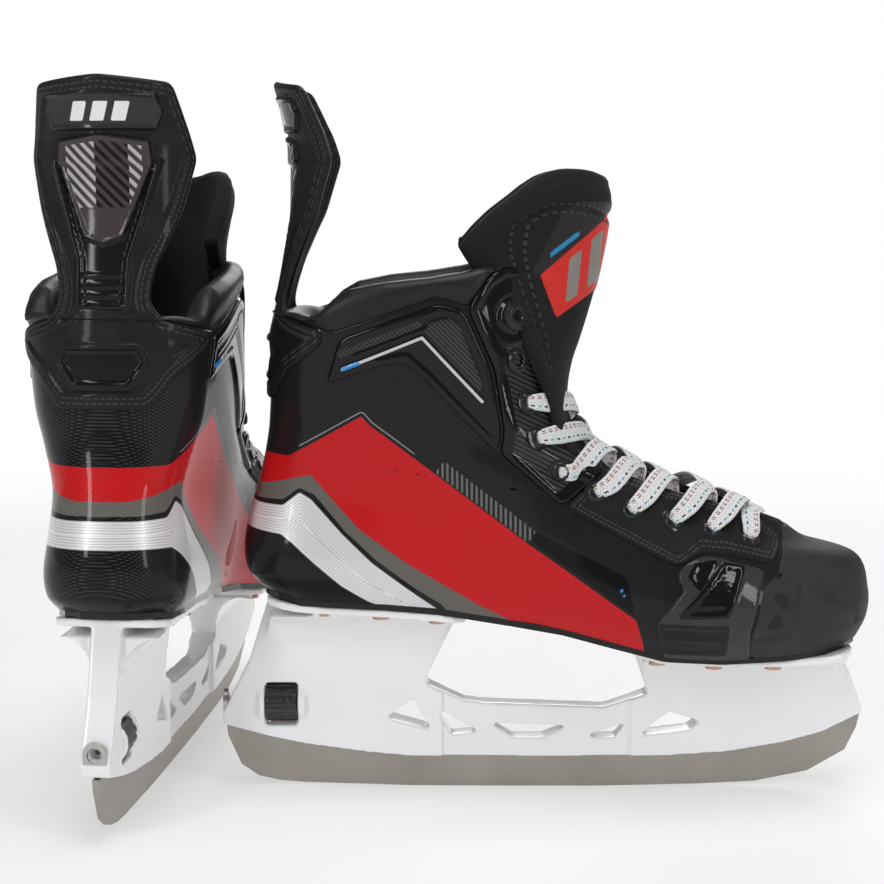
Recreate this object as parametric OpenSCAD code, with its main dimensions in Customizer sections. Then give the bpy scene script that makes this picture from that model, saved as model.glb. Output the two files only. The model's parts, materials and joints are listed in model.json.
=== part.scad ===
// A pair of lace-up ice hockey skates. All sizes are in millimetres.
// Each skate is drawn in its own frame: +X towards the toe, +Y to its left, Z up from the ice,
// with its origin under the middle of the runner. The left skate is the right one mirrored.

/* [Arrangement] */
// Distance of the right skate's origin in front of the pair's centre, along X
right_x = 40; // [30:1:120]
// Distance of the right skate's origin beside the pair's centre, along Y
right_y = -62.5; // [-120:0.5:-60]
// Left skate's origin along X
left_x = -136; // [-200:1:-136]
// Left skate's origin along Y
left_y = 1.5; // [-10:0.5:60]
// Turn of the left skate, seen from above
left_turn = 84; // [80:1:90]

/* [Runner] */
// Thickness of the steel runner
runner_thick = 3; // [2.8:0.1:3.2]
// Clearance between the runner and each wall of its slot
slot_gap = 0.2; // [0.1:0.05:0.3]
// Travel of the runner when it drops out of the holder
runner_drop = 4.5; // [3:0.5:5]

/* [Holder] */
// Width of the lower rail that grips the runner
rail_width = 10; // [9:0.5:12]
// Width of the towers
tower_width = 13; // [12:0.5:15]
// Thickness of the flanges riveted to the sole
flange_thick = 3.5; // [3:0.5:5]

/* [Lock] */
// Radius of the thumbwheel
wheel_radius = 9; // [8:0.5:10]
// Width of the thumbwheel
wheel_width = 14; // [12:0.5:15]
// Radius of the lock bolt
bolt_radius = 3; // [2.5:0.25:3]

/* [Boot] */
// Wall thickness of the moulded boot shell
shell_wall = 3; // [2.5:0.25:3.5]
// Thickness of the outsole
sole_thick = 3; // [3:0.25:3]
// Thickness of the padded liner
liner_wall = 6; // [4:0.5:8]
// Radius of an eyelet's hole
eyelet_bore = 2.4; // [2:0.1:2.6]
// Radius of an eyelet's rim
eyelet_rim = 4.2; // [3.8:0.1:4.6]

/* [Lace] */
// Width of the flat lace
lace_width = 8; // [6:0.5:9]
// Thickness of the flat lace
lace_thick = 1.4; // [1:0.1:1.8]

/* [Hidden] */
// Fineness of every turned shape
$fn = 48;
// Rows of the boot's surface, from the sole up to the collar. Each is a line on the side view, with
// rear x and z, front x and z, half widths at heel, waist, ball and toe, and rear and front rounding.
ROWS = [
    [-129, 95, 139.5, 72, 27, 25, 41, 33, 0.11, 0.17],
    [-135.5, 101, 143.5, 81, 30, 29, 47, 36, 0.11, 0.17],
    [-137, 112, 144, 93, 31.5, 32, 50, 37, 0.12, 0.18],
    [-134.5, 128, 138.5, 108.5, 29.5, 34, 44, 29, 0.12, 0.20],
    [-129, 147, 115, 116.5, 28, 35, 35, 25, 0.12, 0.24],
    [-125.5, 165, 95.5, 129.5, 32, 36.5, 29.5, 20, 0.13, 0.30],
    [-124.4, 181, 60, 140, 36, 38, 31, 22, 0.16, 0.34],
    [-124, 194, 30, 154, 37.5, 39.5, 36, 28, 0.19, 0.38],
    [-123, 206, 10.5, 180, 38.5, 40.5, 40, 34, 0.22, 0.42],
    [-121, 218, 5, 210, 39.5, 42, 41, 35, 0.24, 0.42],
    [-118, 236, -3, 242, 40.5, 43, 42, 36, 0.26, 0.42]
];
LAST_ROW = len(ROWS) - 1;
// Shares of a row's length at which its four half widths hold
WIDTH_AT = [0.12, 0.4, 0.7, 0.92];
// Underside of the outsole, as [x, z]
SOLE = [[-137, 96], [-129, 93], [-110, 90], [-72, 88], [-50, 86], [-20, 81], [5, 77.5], [34, 71.5],
    [48, 68.5], [75, 67], [101.5, 67], [119, 68], [143.5, 71]];
// Levels drawn per row, and points drawn along each side of a level
LEVELS = 18;
SIDE_POINTS = 18;
// Tall enough or wide enough to cut through everything
FAR = 400;

// Eyelets from the collar down to the toe, as [x, y, z] on the shell's right side
EYELETS = [[-17.5, 30, 218], [-16.5, 31, 199], [-12, 30.5, 180.5], [-7.5, 32, 165], [3, 31, 151],
    [18.5, 30.5, 141], [33.5, 32, 133.5], [51.5, 31, 128.5], [68.5, 28, 124], [86, 25.5, 119]];
// The first eyelet that the lace uses
FIRST_LACED = 2;
LACED = len(EYELETS) - FIRST_LACED;
// Middle of the throat between each pair of eyelets and the next, as [x, z] on the tongue
THROAT_MID = [[8.5, 175], [15.5, 163], [25.5, 154], [39, 147], [53.5, 141], [70.5, 137], [86, 133], [96.5, 126]];
// Places of the rivets along the sole, rear group then front group
REAR_RIVETS = [[-100, 19], [-75, 20], [-50, 19]];
FRONT_RIVETS = [[47, 25], [72, 26], [98, 26], [119.5, 20]];

// Thumbwheel and lock bolt, which share one axis along X
LOCK_X = -121;
LOCK_Z = 40;

// Bottoms and pivots of the two flexing tops
GUARD_PIVOT = [-122, 230];
TONGUE_PIVOT = [26, 240];
TONGUE_LEAN = 15;

function mix(a, b, f) = a + (b - a) * f;
function ease(f) = f * f * (3 - 2 * f);
function clamp(v, lo, hi) = min(max(v, lo), hi);
function unit(v) = v / norm(v);
// Catmull-Rom curve through b and c
function curve(a, b, c, d, f) =
    0.5 * (2 * b + (c - a) * f + (2 * a - 5 * b + 4 * c - d) * f * f + (3 * b - a - 3 * c + d) * f * f * f);
function row_no(k) = ROWS[clamp(k, 0, LAST_ROW)];
function row_at(t) =
    let (i = clamp(floor(t), 0, LAST_ROW - 1))
    curve(row_no(i - 1), row_no(i), row_no(i + 1), row_no(i + 2), t - i);
function width_step(u) = u <= WIDTH_AT[1] ? 0 : u <= WIDTH_AT[2] ? 1 : 2;
function row_width(row, u) =
    let (k = width_step(u), f = clamp((u - WIDTH_AT[k]) / (WIDTH_AT[k + 1] - WIDTH_AT[k]), 0, 1))
    mix(row[4 + k], row[5 + k], ease(f));
function rounding(v, power) = pow(1 - pow(1 - clamp(v, 0, 1), power), 1 / power);
// How much of the sole's curve a level still follows
function sole_share(t) = pow(max(0, 1 - t / 4), 1.5);
// A point of the boot's surface, u along the row and t up the rows, moved inwards by inset
function boot_point(u, t, inset) =
    let (
        row = row_at(t),
        x = mix(row[0] + inset, row[2] - inset, u),
        straight = mix(ROWS[0][1], ROWS[0][3], u),
        bend = lookup(x, SOLE) + sole_thick - straight,
        wide = row_width(row, u) * rounding(u / row[8], 2.2) * rounding((1 - u) / row[9], 2)
    )
    [x, max(wide - inset, wide * 0.2), mix(row[1], row[3], u) + sole_share(t) * bend];
function level_share(j) = (1 - cos(180 * j / SIDE_POINTS)) / 2;
// One closed ring of points round the boot
function ring(t, inset, lift) = concat(
    [for (j = [0 : SIDE_POINTS]) let (p = boot_point(level_share(j), t, inset)) [p[0], -p[1], p[2] + lift]],
    [for (j = [SIDE_POINTS - 1 : -1 : 1]) let (p = boot_point(level_share(j), t, inset)) [p[0], p[1], p[2] + lift]]
);

// The whole boot as one solid, its walls moved inwards by inset, its floor and top moved up
module boot_solid(inset = 0, floor_lift = 0, top_lift = 0) {
    count = 2 * SIDE_POINTS;
    rings = [for (k = [0 : LEVELS])
        ring(LAST_ROW * k / LEVELS, inset, k == 0 ? floor_lift : k == LEVELS ? top_lift : 0)];
    points = [for (r = rings) each r];
    sides = [for (k = [0 : LEVELS - 1]) for (j = [0 : count - 1])
        let (a = k * count + j, b = k * count + (j + 1) % count) each [[a, a + count, b], [b, a + count, b + count]]];
    strip = [for (j = [0 : SIDE_POINTS - 1]) each j == 0 ? [[0, 1, count - 1]]
        : j == SIDE_POINTS - 1 ? [[j, j + 1, count - j]]
        : [[j, j + 1, count - j], [count - j, j + 1, count - j - 1]]];
    top = [for (f = strip) [for (v = [2, 1, 0]) f[v] + LEVELS * count]];
    polyhedron(points, concat(sides, strip, top));
}

// A plate through the whole boot with the given outline on the side view
module side_cut(outline, half = FAR) {
    rotate([90, 0, 0]) linear_extrude(2 * half, center = true) polygon(outline);
}

// A skin of the boot's surface between two insets, within an outline on the side view
module skin(outer, inner, outline) {
    intersection() {
        difference() {
            boot_solid(outer, -1, 2);
            boot_solid(inner, -2, 6);
        }
        side_cut(outline);
    }
}

// Toe region on the side view, with its rear edge moved by grow
function toe_outline(grow) = [[75.5 + grow, 40], [85 + grow, 79], [91 + grow, 101], [98 + grow, 107],
    [106 + grow, 140], [FAR, 140], [FAR, 40]];
// Region above the shell's top edge
SHELL_TOP = [[-FAR, 215], [-112, 215], [-94, 211], [-50, 226], [-34, 222], [-26, 237], [-16, 240.5],
    [-7, 238], [10, 236], [10, FAR], [-FAR, FAR]];
// Region above the padded collar
COLLAR_TOP = [[-FAR, 216], [-112, 216], [-101, 219], [-95, 225], [-87, 229], [-72, 232], [-54, 234],
    [-38, 236], [-27, 239], [30, 239], [30, FAR], [-FAR, FAR]];

// Opening over the tongue, seen from above
module throat_cut() {
    translate([0, 0, 105]) linear_extrude(FAR)
        polygon([[-30, -22], [8, -21], [40, -16], [95, -11], [101, -5], [101, 5], [95, 11], [40, 16],
            [8, 21], [-30, 22]]);
}

module rivet_places() {
    for (p = concat(REAR_RIVETS, FRONT_RIVETS)) for (s = [-1, 1])
        translate([p[0], s * p[1], lookup(p[0], SOLE)]) children();
}

module boot_shell() {
    color([0.06, 0.06, 0.07]) difference() {
        boot_solid();
        boot_solid(shell_wall, shell_wall, 6);
        throat_cut();
        side_cut(toe_outline(0));
        side_cut(SHELL_TOP);
        rivet_places() cylinder(r = 2.35, h = 9, center = true);
        eyelet_places() cylinder(r = eyelet_bore + 0.6, h = 12, center = true);
    }
}

module toe_cap() {
    color([0.16, 0.16, 0.17]) difference() {
        intersection() {
            boot_solid();
            side_cut(toe_outline(0.3));
        }
        boot_solid(shell_wall, shell_wall, 6);
        toe_plug_places() cylinder(r = 3.1, h = 2 * shell_wall + 6, center = true);
        rivet_places() cylinder(r = 2.35, h = 9, center = true);
    }
}

// Round plugs in each side of the toe cap
module toe_plug_places() {
    for (s = [-1, 1]) for (p = [[98, 39.5, 95.5], [95.5, 40.5, 86.5]])
        translate([p[0], s * p[1], p[2]]) rotate([s * -90, 0, 0]) children();
}

module toe_plugs() {
    color([0.12, 0.12, 0.13]) toe_plug_places() {
        translate([0, 0, -3]) cylinder(r = 3, h = 5.5);
    }
}

// Plan of the sole, inset from the boot's lowest edge
module sole_plan(inset) {
    half = [for (j = [0 : SIDE_POINTS]) boot_point(level_share(j), 0, inset)];
    polygon(concat([for (p = half) [p[0], -p[1]]],
        [for (j = [SIDE_POINTS - 1 : -1 : 1]) [half[j][0], half[j][1]]]));
}

// A layer that follows the sole, between two heights above the outsole's underside
module sole_layer(low, high, inset) {
    intersection() {
        translate([0, 0, 30]) linear_extrude(100) sole_plan(inset);
        side_cut(concat([for (p = SOLE) [p[0], p[1] + low]],
            [for (k = [len(SOLE) - 1 : -1 : 0]) [SOLE[k][0], SOLE[k][1] + high]]));
    }
}

module outsole() {
    color([0.05, 0.05, 0.05]) difference() {
        sole_layer(0, sole_thick, 0.4);
        rivet_places() cylinder(r = 2.35, h = 12, center = true);
    }
}

module footbed() {
    color([0.2, 0.2, 0.21])
        sole_layer(sole_thick + shell_wall + 1.2, sole_thick + shell_wall + 5.2, 7);
}

module liner() {
    color([0.1, 0.1, 0.1]) difference() {
        boot_solid(shell_wall + 0.4, 0, 6);
        boot_solid(shell_wall + 0.4 + liner_wall, -4, 10);
        side_cut(COLLAR_TOP);
        side_cut([[-FAR, 0], [-FAR, 150], [-125, 150], [-20, 142], [-20, 0]]);
        side_cut([[-24, -1], [-24, FAR], [FAR, FAR], [FAR, -1]]);
    }
}

// Curved upright plate whose front is at x when z is TONGUE_PIVOT's
module tongue_wall(radius, thick, axis = 47) {
    translate([TONGUE_PIVOT[0], 0, TONGUE_PIVOT[1]]) rotate([0, TONGUE_LEAN, 0])
        translate([-axis, 0, -90]) difference() {
            cylinder(r = radius, h = 160);
            translate([0, 0, -1]) cylinder(r = radius - thick, h = 162);
        }
}

module tongue_lower() {
    color([0.08, 0.08, 0.08]) union() {
        intersection() {
            difference() {
                boot_solid(shell_wall + 3, 20, 0);
                boot_solid(shell_wall + 9, 10, 6);
            }
            side_cut([[-14, 239], [-14, 150], [-1, 128], [57.5, 112], [97.5, 100], [97.5, 160], [38, 239]], 24);
        }
        intersection() {
            tongue_wall(47, 9);
            side_cut([[-12, 186], [40, 186], [40, 239.6], [-12, 239.6]], 19.5);
        }
    }
}

module tongue_upper() {
    color([0.08, 0.08, 0.08]) intersection() {
        tongue_wall(47, 10);
        side_cut([[-38, 240], [40, 240], [40, 279], [20, 281.5], [8, 282], [-1, 280], [-8, 275],
            [-18, 267], [-29, 259], [-36, 247]], 48);
    }
}

module tongue_shield() {
    color([0.72, 0.07, 0.06]) intersection() {
        tongue_wall(48.2, 1);
        side_cut([[-3, 243], [40, 243], [40, 268], [10, 272], [-3, 262]], 36);
    }
}

module ankle_panels() {
    color([0.03, 0.03, 0.03]) skin(-1.2, -0.2, [[-100, 189.5], [-78, 197], [-65.5, 199], [-57, 191.5], [-24, 160],
        [-24, 176], [-26, 190], [-29.5, 208], [-34, 221], [-50, 225], [-93, 210]]);
}

module side_panels() {
    color([0.03, 0.03, 0.03]) skin(-1.2, -0.2, [[43, 73], [50, 71], [77.5, 70.5], [83.5, 83], [89, 101], [95, 107],
        [95, 110], [75, 113], [57.5, 112], [52, 106], [53.5, 100], [43, 89]]);
}

// Normal of the shell at an eyelet, as a turn away from straight up
function eyelet_out(p) = unit([p[0] < 0 ? 0.35 : 0.1, 0.8, p[0] < 0 ? 0.12 : 0.65]);

module eyelet_places() {
    for (s = [-1, 1]) for (p = EYELETS) let (n = eyelet_out(p))
        translate([p[0], s * p[1], p[2]])
            rotate([0, 0, atan2(s * n[1], n[0])]) rotate([0, acos(n[2]), 0]) children();
}

module facings() {
    color([0.2, 0.2, 0.2]) difference() {
        skin(-1.2, -0.2, [[-26, 236], [-16, 239], [-9, 236], [5, 234], [28.5, 178], [96, 140], [96, 111.5],
            [75, 115], [33, 122], [10.5, 132], [-10.5, 150], [-21, 168], [-22.5, 189], [-27, 209]]);
        throat_cut();
        eyelet_places() cylinder(r = eyelet_rim + 0.6, h = 16, center = true);
    }
}

module eyelets() {
    color([0.25, 0.25, 0.26]) eyelet_places() {
        difference() {
            translate([0, 0, -3.3]) cylinder(r = eyelet_bore + 0.55, h = 5.8);
            cylinder(r = eyelet_bore, h = 20, center = true);
        }
        difference() {
            translate([0, 0, 1.8]) cylinder(r = eyelet_rim, h = 1.2);
            cylinder(r = eyelet_bore, h = 20, center = true);
        }
    }
}

module tendon_guard_base() {
    color([0.1, 0.1, 0.1]) skin(-4, -0.3, [[-FAR, 178], [-114, 178], [-106, 195], [-97.5, 211], [-104, 222],
        [-104, 229.6], [-FAR, 229.6]]);
}

// Outline of the tendon guard's paddle seen from behind, as [y, z]
GUARD_HALF = [[21, 230], [22, 240], [33, 262], [37.5, 284], [30, 315], [0, 318]];
module tendon_guard() {
    outline = concat(GUARD_HALF, [for (k = [4 : -1 : 0]) [-GUARD_HALF[k][0], GUARD_HALF[k][1]]]);
    color([0.1, 0.1, 0.1]) intersection() {
        translate([GUARD_PIVOT[0] + 47, 0, GUARD_PIVOT[1] - 5]) difference() {
            cylinder(r = 47, h = 100);
            translate([0, 0, -1]) cylinder(r = 41.5, h = 102);
        }
        translate([-140, 0, 0]) rotate([90, 0, 90]) linear_extrude(60) polygon(outline);
    }
}

// Badge plate and lower window of the tendon guard, plain
module guard_badge() {
    color([0.2, 0.2, 0.22]) intersection() {
        translate([GUARD_PIVOT[0] + 47, 0, GUARD_PIVOT[1]]) difference() {
            cylinder(r = 48.2, h = 100);
            translate([0, 0, -1]) cylinder(r = 47.2, h = 102);
        }
        translate([-140, 0, 0]) rotate([90, 0, 90]) linear_extrude(60) union() {
            polygon([[-27, 303], [-24, 309], [24, 309], [27, 303], [24, 297], [-24, 297]]);
            polygon([[-20, 289], [-18, 292], [18, 292], [20, 289], [8, 258], [-8, 258]]);
        }
    }
}

// Side outline of the holder's web, towers and bridge
REAR_TOWER = [[-126, 90], [-135.5, 60], [-142, 47], [-148, 35], [-147, 30.5], [-127, 25], [-110, 21.4],
    [-81, 17.4], [-61, 15.5], [-48, 15.4], [-48, 46], [-54.4, 49], [-55.3, 52], [-41, 81.5]];
FRONT_TOWER = [[33, 69], [38, 66.5], [45.5, 44.7], [38, 42], [38, 15.5], [57.5, 16], [82, 17.7], [107, 22],
    [125, 27], [142.5, 36], [142.5, 39], [138, 51.5], [132, 66], [119, 66], [87, 65], [48, 66.5]];
BRIDGE = [[-48.5, 15.4], [-61, 15.5], [-60, 30], [-54, 49], [-38, 41.5], [-29.3, 40.2], [26, 38.2],
    [46, 45], [48, 30], [46, 15.5], [5, 15.1]];
WINDOWS = [
    [[-61, 42.7], [-73.5, 33.6], [-52.6, 27.7]],
    [[-48, 36.6], [-30.7, 26.4], [-43.7, 25.2], [-48.8, 34]],
    [[-27, 31], [10.7, 29.3], [-2.8, 24], [-15.8, 24]],
    [[36.5, 31], [31, 24], [17, 24], [21.5, 26]],
    [[55.5, 36.4], [70, 31.8], [64.5, 27.8], [42, 25], [46.5, 29.8]]
];

// A flange that follows the sole between two x values
module flange(from, to, half, corner) {
    intersection() {
        side_cut(concat([for (p = SOLE) [p[0], p[1]]],
            [for (k = [len(SOLE) - 1 : -1 : 0]) [SOLE[k][0], SOLE[k][1] - flange_thick]]));
        translate([0, 0, 40]) linear_extrude(60) hull()
            for (x = [from + corner, to - corner]) for (s = [-1, 1])
                translate([x, s * (half - corner)]) circle(r = corner, $fn = 32);
    }
}

// Flare from a narrow web out to its flange: a block with a hollow cheek on each side
module flare(outline, top, half, cheek) {
    intersection() {
        side_cut(outline);
        rotate([90, 0, 90]) linear_extrude(FAR, center = true) difference() {
            translate([-half, top - cheek + 0.4]) square([2 * half, cheek]);
            for (s = [-1, 1]) translate([s * (tower_width / 2 + cheek + 0.7), top - cheek]) circle(r = cheek);
        }
    }
}

module holder() {
    color([0.93, 0.93, 0.94]) difference() {
        union() {
            side_cut(REAR_TOWER, tower_width / 2);
            side_cut(FRONT_TOWER, tower_width / 2);
            side_cut(BRIDGE, rail_width / 2);
            flange(-126, -37, 25, 12);
            flange(33, 135, 31, 16);
            flare([[-122, 95], [-130, 62], [-60, 52], [-42, 81.5], [-42, 95]], 84, 22, 14);
            flare([[36, 78], [44, 52], [132, 52], [130, 78]], 64.5, 26, 14);
            // Barrel round the thumbwheel
            translate([LOCK_X - 10, 0, LOCK_Z]) rotate([0, 90, 0]) cylinder(r = wheel_radius + 0.5, h = 21);
        }
        for (w = WINDOWS) side_cut(w, 20);
        // Slot for the runner, with room above its post and its front tab
        side_cut([[-150, 10], [-150, 29.5], [-128, 29.5], [-112, 29.5], [-112, 52], [-98, 52], [-98, 29.5],
            [-92, 24], [-60, 22.6], [44, 22.6], [87, 25], [112.4, 30], [112.4, 42], [127.4, 42], [127.4, 36],
            [150, 36], [150, 10]], runner_thick / 2 + slot_gap);
        // Window for the thumbwheel
        translate([LOCK_X, 0, LOCK_Z])
            cube([wheel_width + 1, 60, 2 * wheel_radius + 1.8], center = true);
        // Bore for the lock bolt, open at the tower's back
        translate([-160, 0, LOCK_Z]) rotate([0, 90, 0]) cylinder(r = bolt_radius + 0.1, h = 56);
        rivet_places() cylinder(r = 2.35, h = 20, center = true);
    }
}

module rivets() {
    color([0.62, 0.45, 0.36]) rivet_places() {
        translate([0, 0, -flange_thick - 1.4]) cylinder(r = 3.8, h = 1.4);
        translate([0, 0, -flange_thick]) cylinder(r = 2.3, h = flange_thick + sole_thick + shell_wall - 0.5);
    }
}

// Side outline of the steel runner: rockered edge, then its top with post and tab
RUNNER = [[-146, 24.5], [-140, 10.5], [-132, 5], [-122, 2.7], [-110, 1.8], [-61, 0.3], [-14, 0],
    [22, 0], [70, 1.1], [95, 2.3], [119.5, 7.3], [136.5, 17.3], [141.5, 28], [143, 35.4],
    [127.2, 35.4], [127.2, 41.5], [112.7, 41.5], [112.7, 29.4], [87, 24.6], [44, 22.2], [-60, 22.2],
    [-92, 23.6], [-98.3, 29.2], [-98.3, 51.5], [-111.7, 51.5], [-111.7, 29.2], [-146.4, 29.2]];
module runner() {
    color([0.6, 0.57, 0.53]) difference() {
        side_cut(RUNNER, runner_thick / 2);
        // Pocket for the bolt's sloped nose
        side_cut([[-115, LOCK_Z - 8.5], [-115, LOCK_Z + 6.4], [-112, LOCK_Z + 3.4], [-105.8, LOCK_Z - 2.8],
            [-102, LOCK_Z - 2.8], [-102, LOCK_Z - 8.5]], 5);
    }
}

module lock_bolt() {
    color([0.5, 0.5, 0.52]) difference() {
        translate([-142, 0, LOCK_Z]) rotate([0, 90, 0]) cylinder(r = bolt_radius, h = 36);
        // Sloped nose that holds the runner's post up
        side_cut([[-112, LOCK_Z + 3.05], [-105.9, LOCK_Z - 3.05], [-100, LOCK_Z - 3.05], [-100, LOCK_Z + 10],
            [-112, LOCK_Z + 10]], 10);
        // Tool socket in its rear end
        translate([-143, 0, LOCK_Z]) rotate([0, 90, 0]) cylinder(r = 1.5, h = 4, $fn = 6);
    }
}

module lock_wheel() {
    color([0.08, 0.08, 0.08]) translate([LOCK_X, 0, LOCK_Z]) rotate([0, 90, 0]) difference() {
        cylinder(r = wheel_radius, h = wheel_width, center = true);
        cylinder(r = bolt_radius + 0.05, h = 40, center = true);
        for (k = [0 : 11]) rotate([0, 0, 30 * k]) translate([wheel_radius + 0.9, 0, 0])
            cylinder(r = 1.6, h = 40, center = true);
    }
}

// Arched plate round the bolt's bore at the tower's back
module lock_plate() {
    color([0.6, 0.58, 0.52]) difference() {
        translate([-147.6, 0, 0]) rotate([90, 0, 90]) linear_extrude(2) union() {
            translate([-5, 34]) square([10, 6.5]);
            translate([0, 40.5]) circle(r = 5);
        }
        translate([-160, 0, LOCK_Z]) rotate([0, 90, 0]) cylinder(r = 3.2, h = 56);
        side_cut([[-148.1, 35], [-142, 47], [-135.5, 60], [-100, 60], [-100, 30], [-147, 30.5]], 30);
    }
}

// Oval coils of the lace's two ends, one on the other on the footbed
COIL_REAR = -90;
COIL_FRONT = -8;
COIL_BEND = 17;
COIL_WALL = 9;
COIL_Z = 100;
COIL_TILT = 6;
// Way from the first laced eyelet down to its coil, on the shell's right side
LACE_DROP = [[-16, 27.5, 168], [-24, 25, 156], [-30, 22, 138], [-32, 18, 127], [-33, 14, 120]];

// Bores that the lace passes have a narrower lace in them
function strand(i, s, over) =
    let (
        from = EYELETS[i],
        to = EYELETS[i + 1],
        mid = THROAT_MID[i - FIRST_LACED],
        out = eyelet_out(from),
        back = eyelet_out(to),
        rise = over ? 4.6 : 2.4,
        lean = unit([from[0] < 0 ? 1 : 0.3, 0, from[0] < 0 ? 0.4 : 1])
    )
    [
        [from[0] + out[0] * 4.2, s * (from[1] + out[1] * 4.2), from[2] + out[2] * 4.2, 4],
        [mix(from[0], mid[0], 0.55) + lean[0] * 3, s * 17, mix(from[2], mid[1], 0.75) + lean[2] * 4, lace_width],
        [mid[0] + lean[0] * rise, 0, mid[1] + lean[2] * rise, lace_width],
        [mix(to[0], mid[0], 0.5) - lean[0] * 3, -s * 18, mix(to[2], mid[1], 0.5) - lean[2] * 3.5, lace_width],
        [to[0] - back[0] * 6.5, -s * (to[1] - back[1] * 6.5), to[2] - back[2] * 6.5, 4]
    ];
// Half of the laced route, from the top right or left eyelet to the toe
function half_route(s) = [for (k = [0 : LACED - 2])
    each strand(FIRST_LACED + k, k % 2 == 0 ? s : -s, s < 0)];
function drop_route(s) = [for (k = [len(LACE_DROP) - 1 : -1 : 0]) let (p = LACE_DROP[k])
    [p[0], s * p[1], p[2] + (s > 0 ? 1 : -1) * (k > 2 ? 4.5 : 0), k < 1 ? 4 : lace_width]];
function reversed(list) = [for (k = [len(list) - 1 : -1 : 0]) list[k]];
LAST_EYE = EYELETS[len(EYELETS) - 1];
TOE_BAR = [for (s = [1, 0.5, -0.5, -1]) let (out = eyelet_out(LAST_EYE), edge = abs(s) == 1)
    edge ? [LAST_EYE[0] + out[0] * 4.2, s * (LAST_EYE[1] + out[1] * 4.2), LAST_EYE[2] + out[2] * 4.2, 4]
    : [THROAT_MID[LACED - 1][0], s * 22, THROAT_MID[LACED - 1][1] + 2.6, lace_width]];
function lace_route() = concat(drop_route(-1), half_route(-1),
    LACED % 2 == 0 ? TOE_BAR : reversed(TOE_BAR), reversed(half_route(1)), reversed(drop_route(1)));
function spot(p) = [p[0], p[1], p[2]];
function run_of(p) = unit([p[2] > 150 ? 0.3 : 1, 0, p[2] > 150 ? -1 : -0.35]);
function lace_section(w, t) = [[-w, -t], [-w * 0.5, -t], [w * 0.5, -t], [w, -t], [w, t], [w * 0.5, t],
    [-w * 0.5, t], [-w, t]];
function lace_ring(route, k) =
    let (
        here = spot(route[k]),
        ahead = unit(spot(route[min(k + 1, len(route) - 1)]) - spot(route[max(k - 1, 0)])),
        run = run_of(route[k]),
        wide = unit(run - (run * ahead) * ahead),
        thick = cross(ahead, wide)
    )
    [for (q = lace_section(route[k][3] / 2, lace_thick / 2)) here + q[0] * wide + q[1] * thick];

module lace() {
    route = lace_route();
    count = len(route);
    points = [for (k = [0 : count - 1]) each lace_ring(route, k)];
    sides = [for (k = [0 : count - 2]) for (j = [0 : 7])
        let (a = k * 8 + j, b = k * 8 + (j + 1) % 8) each [[a, b, a + 8], [b, b + 8, a + 8]]];
    start = [for (j = [1 : 6]) [0, j + 1, j]];
    end = [for (j = [1 : 6]) [(count - 1) * 8, (count - 1) * 8 + j, (count - 1) * 8 + j + 1]];
    color([0.92, 0.92, 0.92]) polyhedron(points, concat(sides, start, end));
}

module oval(bend) {
    for (x = [COIL_REAR + COIL_BEND, COIL_FRONT - COIL_BEND]) translate([x, 0]) circle(r = bend);
    translate([COIL_REAR + COIL_BEND, -bend]) square([COIL_FRONT - COIL_REAR - 2 * COIL_BEND, 2 * bend]);
}

module lace_coils() {
    color([0.92, 0.92, 0.92]) translate([-50, 0, COIL_Z]) rotate([0, COIL_TILT, 0]) translate([50, 0, 0])
        for (level = [0, lace_width + 0.8]) translate([0, 0, level]) linear_extrude(lace_width) difference() {
            oval(COIL_BEND);
            oval(COIL_BEND - COIL_WALL);
        }
}

module right() {
    translate([right_x, right_y, 0]) children();
}

module left() {
    translate([left_x, left_y, 0]) rotate([0, 0, left_turn]) mirror([0, 1, 0]) children();
}

module right_boot_shell() right() boot_shell();
module right_toe_cap() right() toe_cap();
module right_toe_plugs() right() toe_plugs();
module right_outsole() right() outsole();
module right_footbed() right() footbed();
module right_liner() right() liner();
module right_tongue_lower() right() tongue_lower();
module right_tongue_upper() right() tongue_upper();
module right_tongue_shield() right() tongue_shield();
module right_facings() right() facings();
module right_eyelets() right() eyelets();
module right_ankle_panels() right() ankle_panels();
module right_side_panels() right() side_panels();
module right_tendon_guard_base() right() tendon_guard_base();
module right_tendon_guard() right() tendon_guard();
module right_guard_badge() right() guard_badge();
module right_lace() right() lace();
module right_lace_coils() right() lace_coils();
module right_holder() right() holder();
module right_rivets() right() rivets();
module right_runner() right() runner();
module right_lock_wheel() right() lock_wheel();
module right_lock_bolt() right() lock_bolt();
module right_lock_plate() right() lock_plate();

module left_boot_shell() left() boot_shell();
module left_toe_cap() left() toe_cap();
module left_toe_plugs() left() toe_plugs();
module left_outsole() left() outsole();
module left_footbed() left() footbed();
module left_liner() left() liner();
module left_tongue_lower() left() tongue_lower();
module left_tongue_upper() left() tongue_upper();
module left_tongue_shield() left() tongue_shield();
module left_facings() left() facings();
module left_eyelets() left() eyelets();
module left_ankle_panels() left() ankle_panels();
module left_side_panels() left() side_panels();
module left_tendon_guard_base() left() tendon_guard_base();
module left_tendon_guard() left() tendon_guard();
module left_guard_badge() left() guard_badge();
module left_lace() left() lace();
module left_lace_coils() left() lace_coils();
module left_holder() left() holder();
module left_rivets() left() rivets();
module left_runner() left() runner();
module left_lock_wheel() left() lock_wheel();
module left_lock_bolt() left() lock_bolt();
module left_lock_plate() left() lock_plate();

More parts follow.
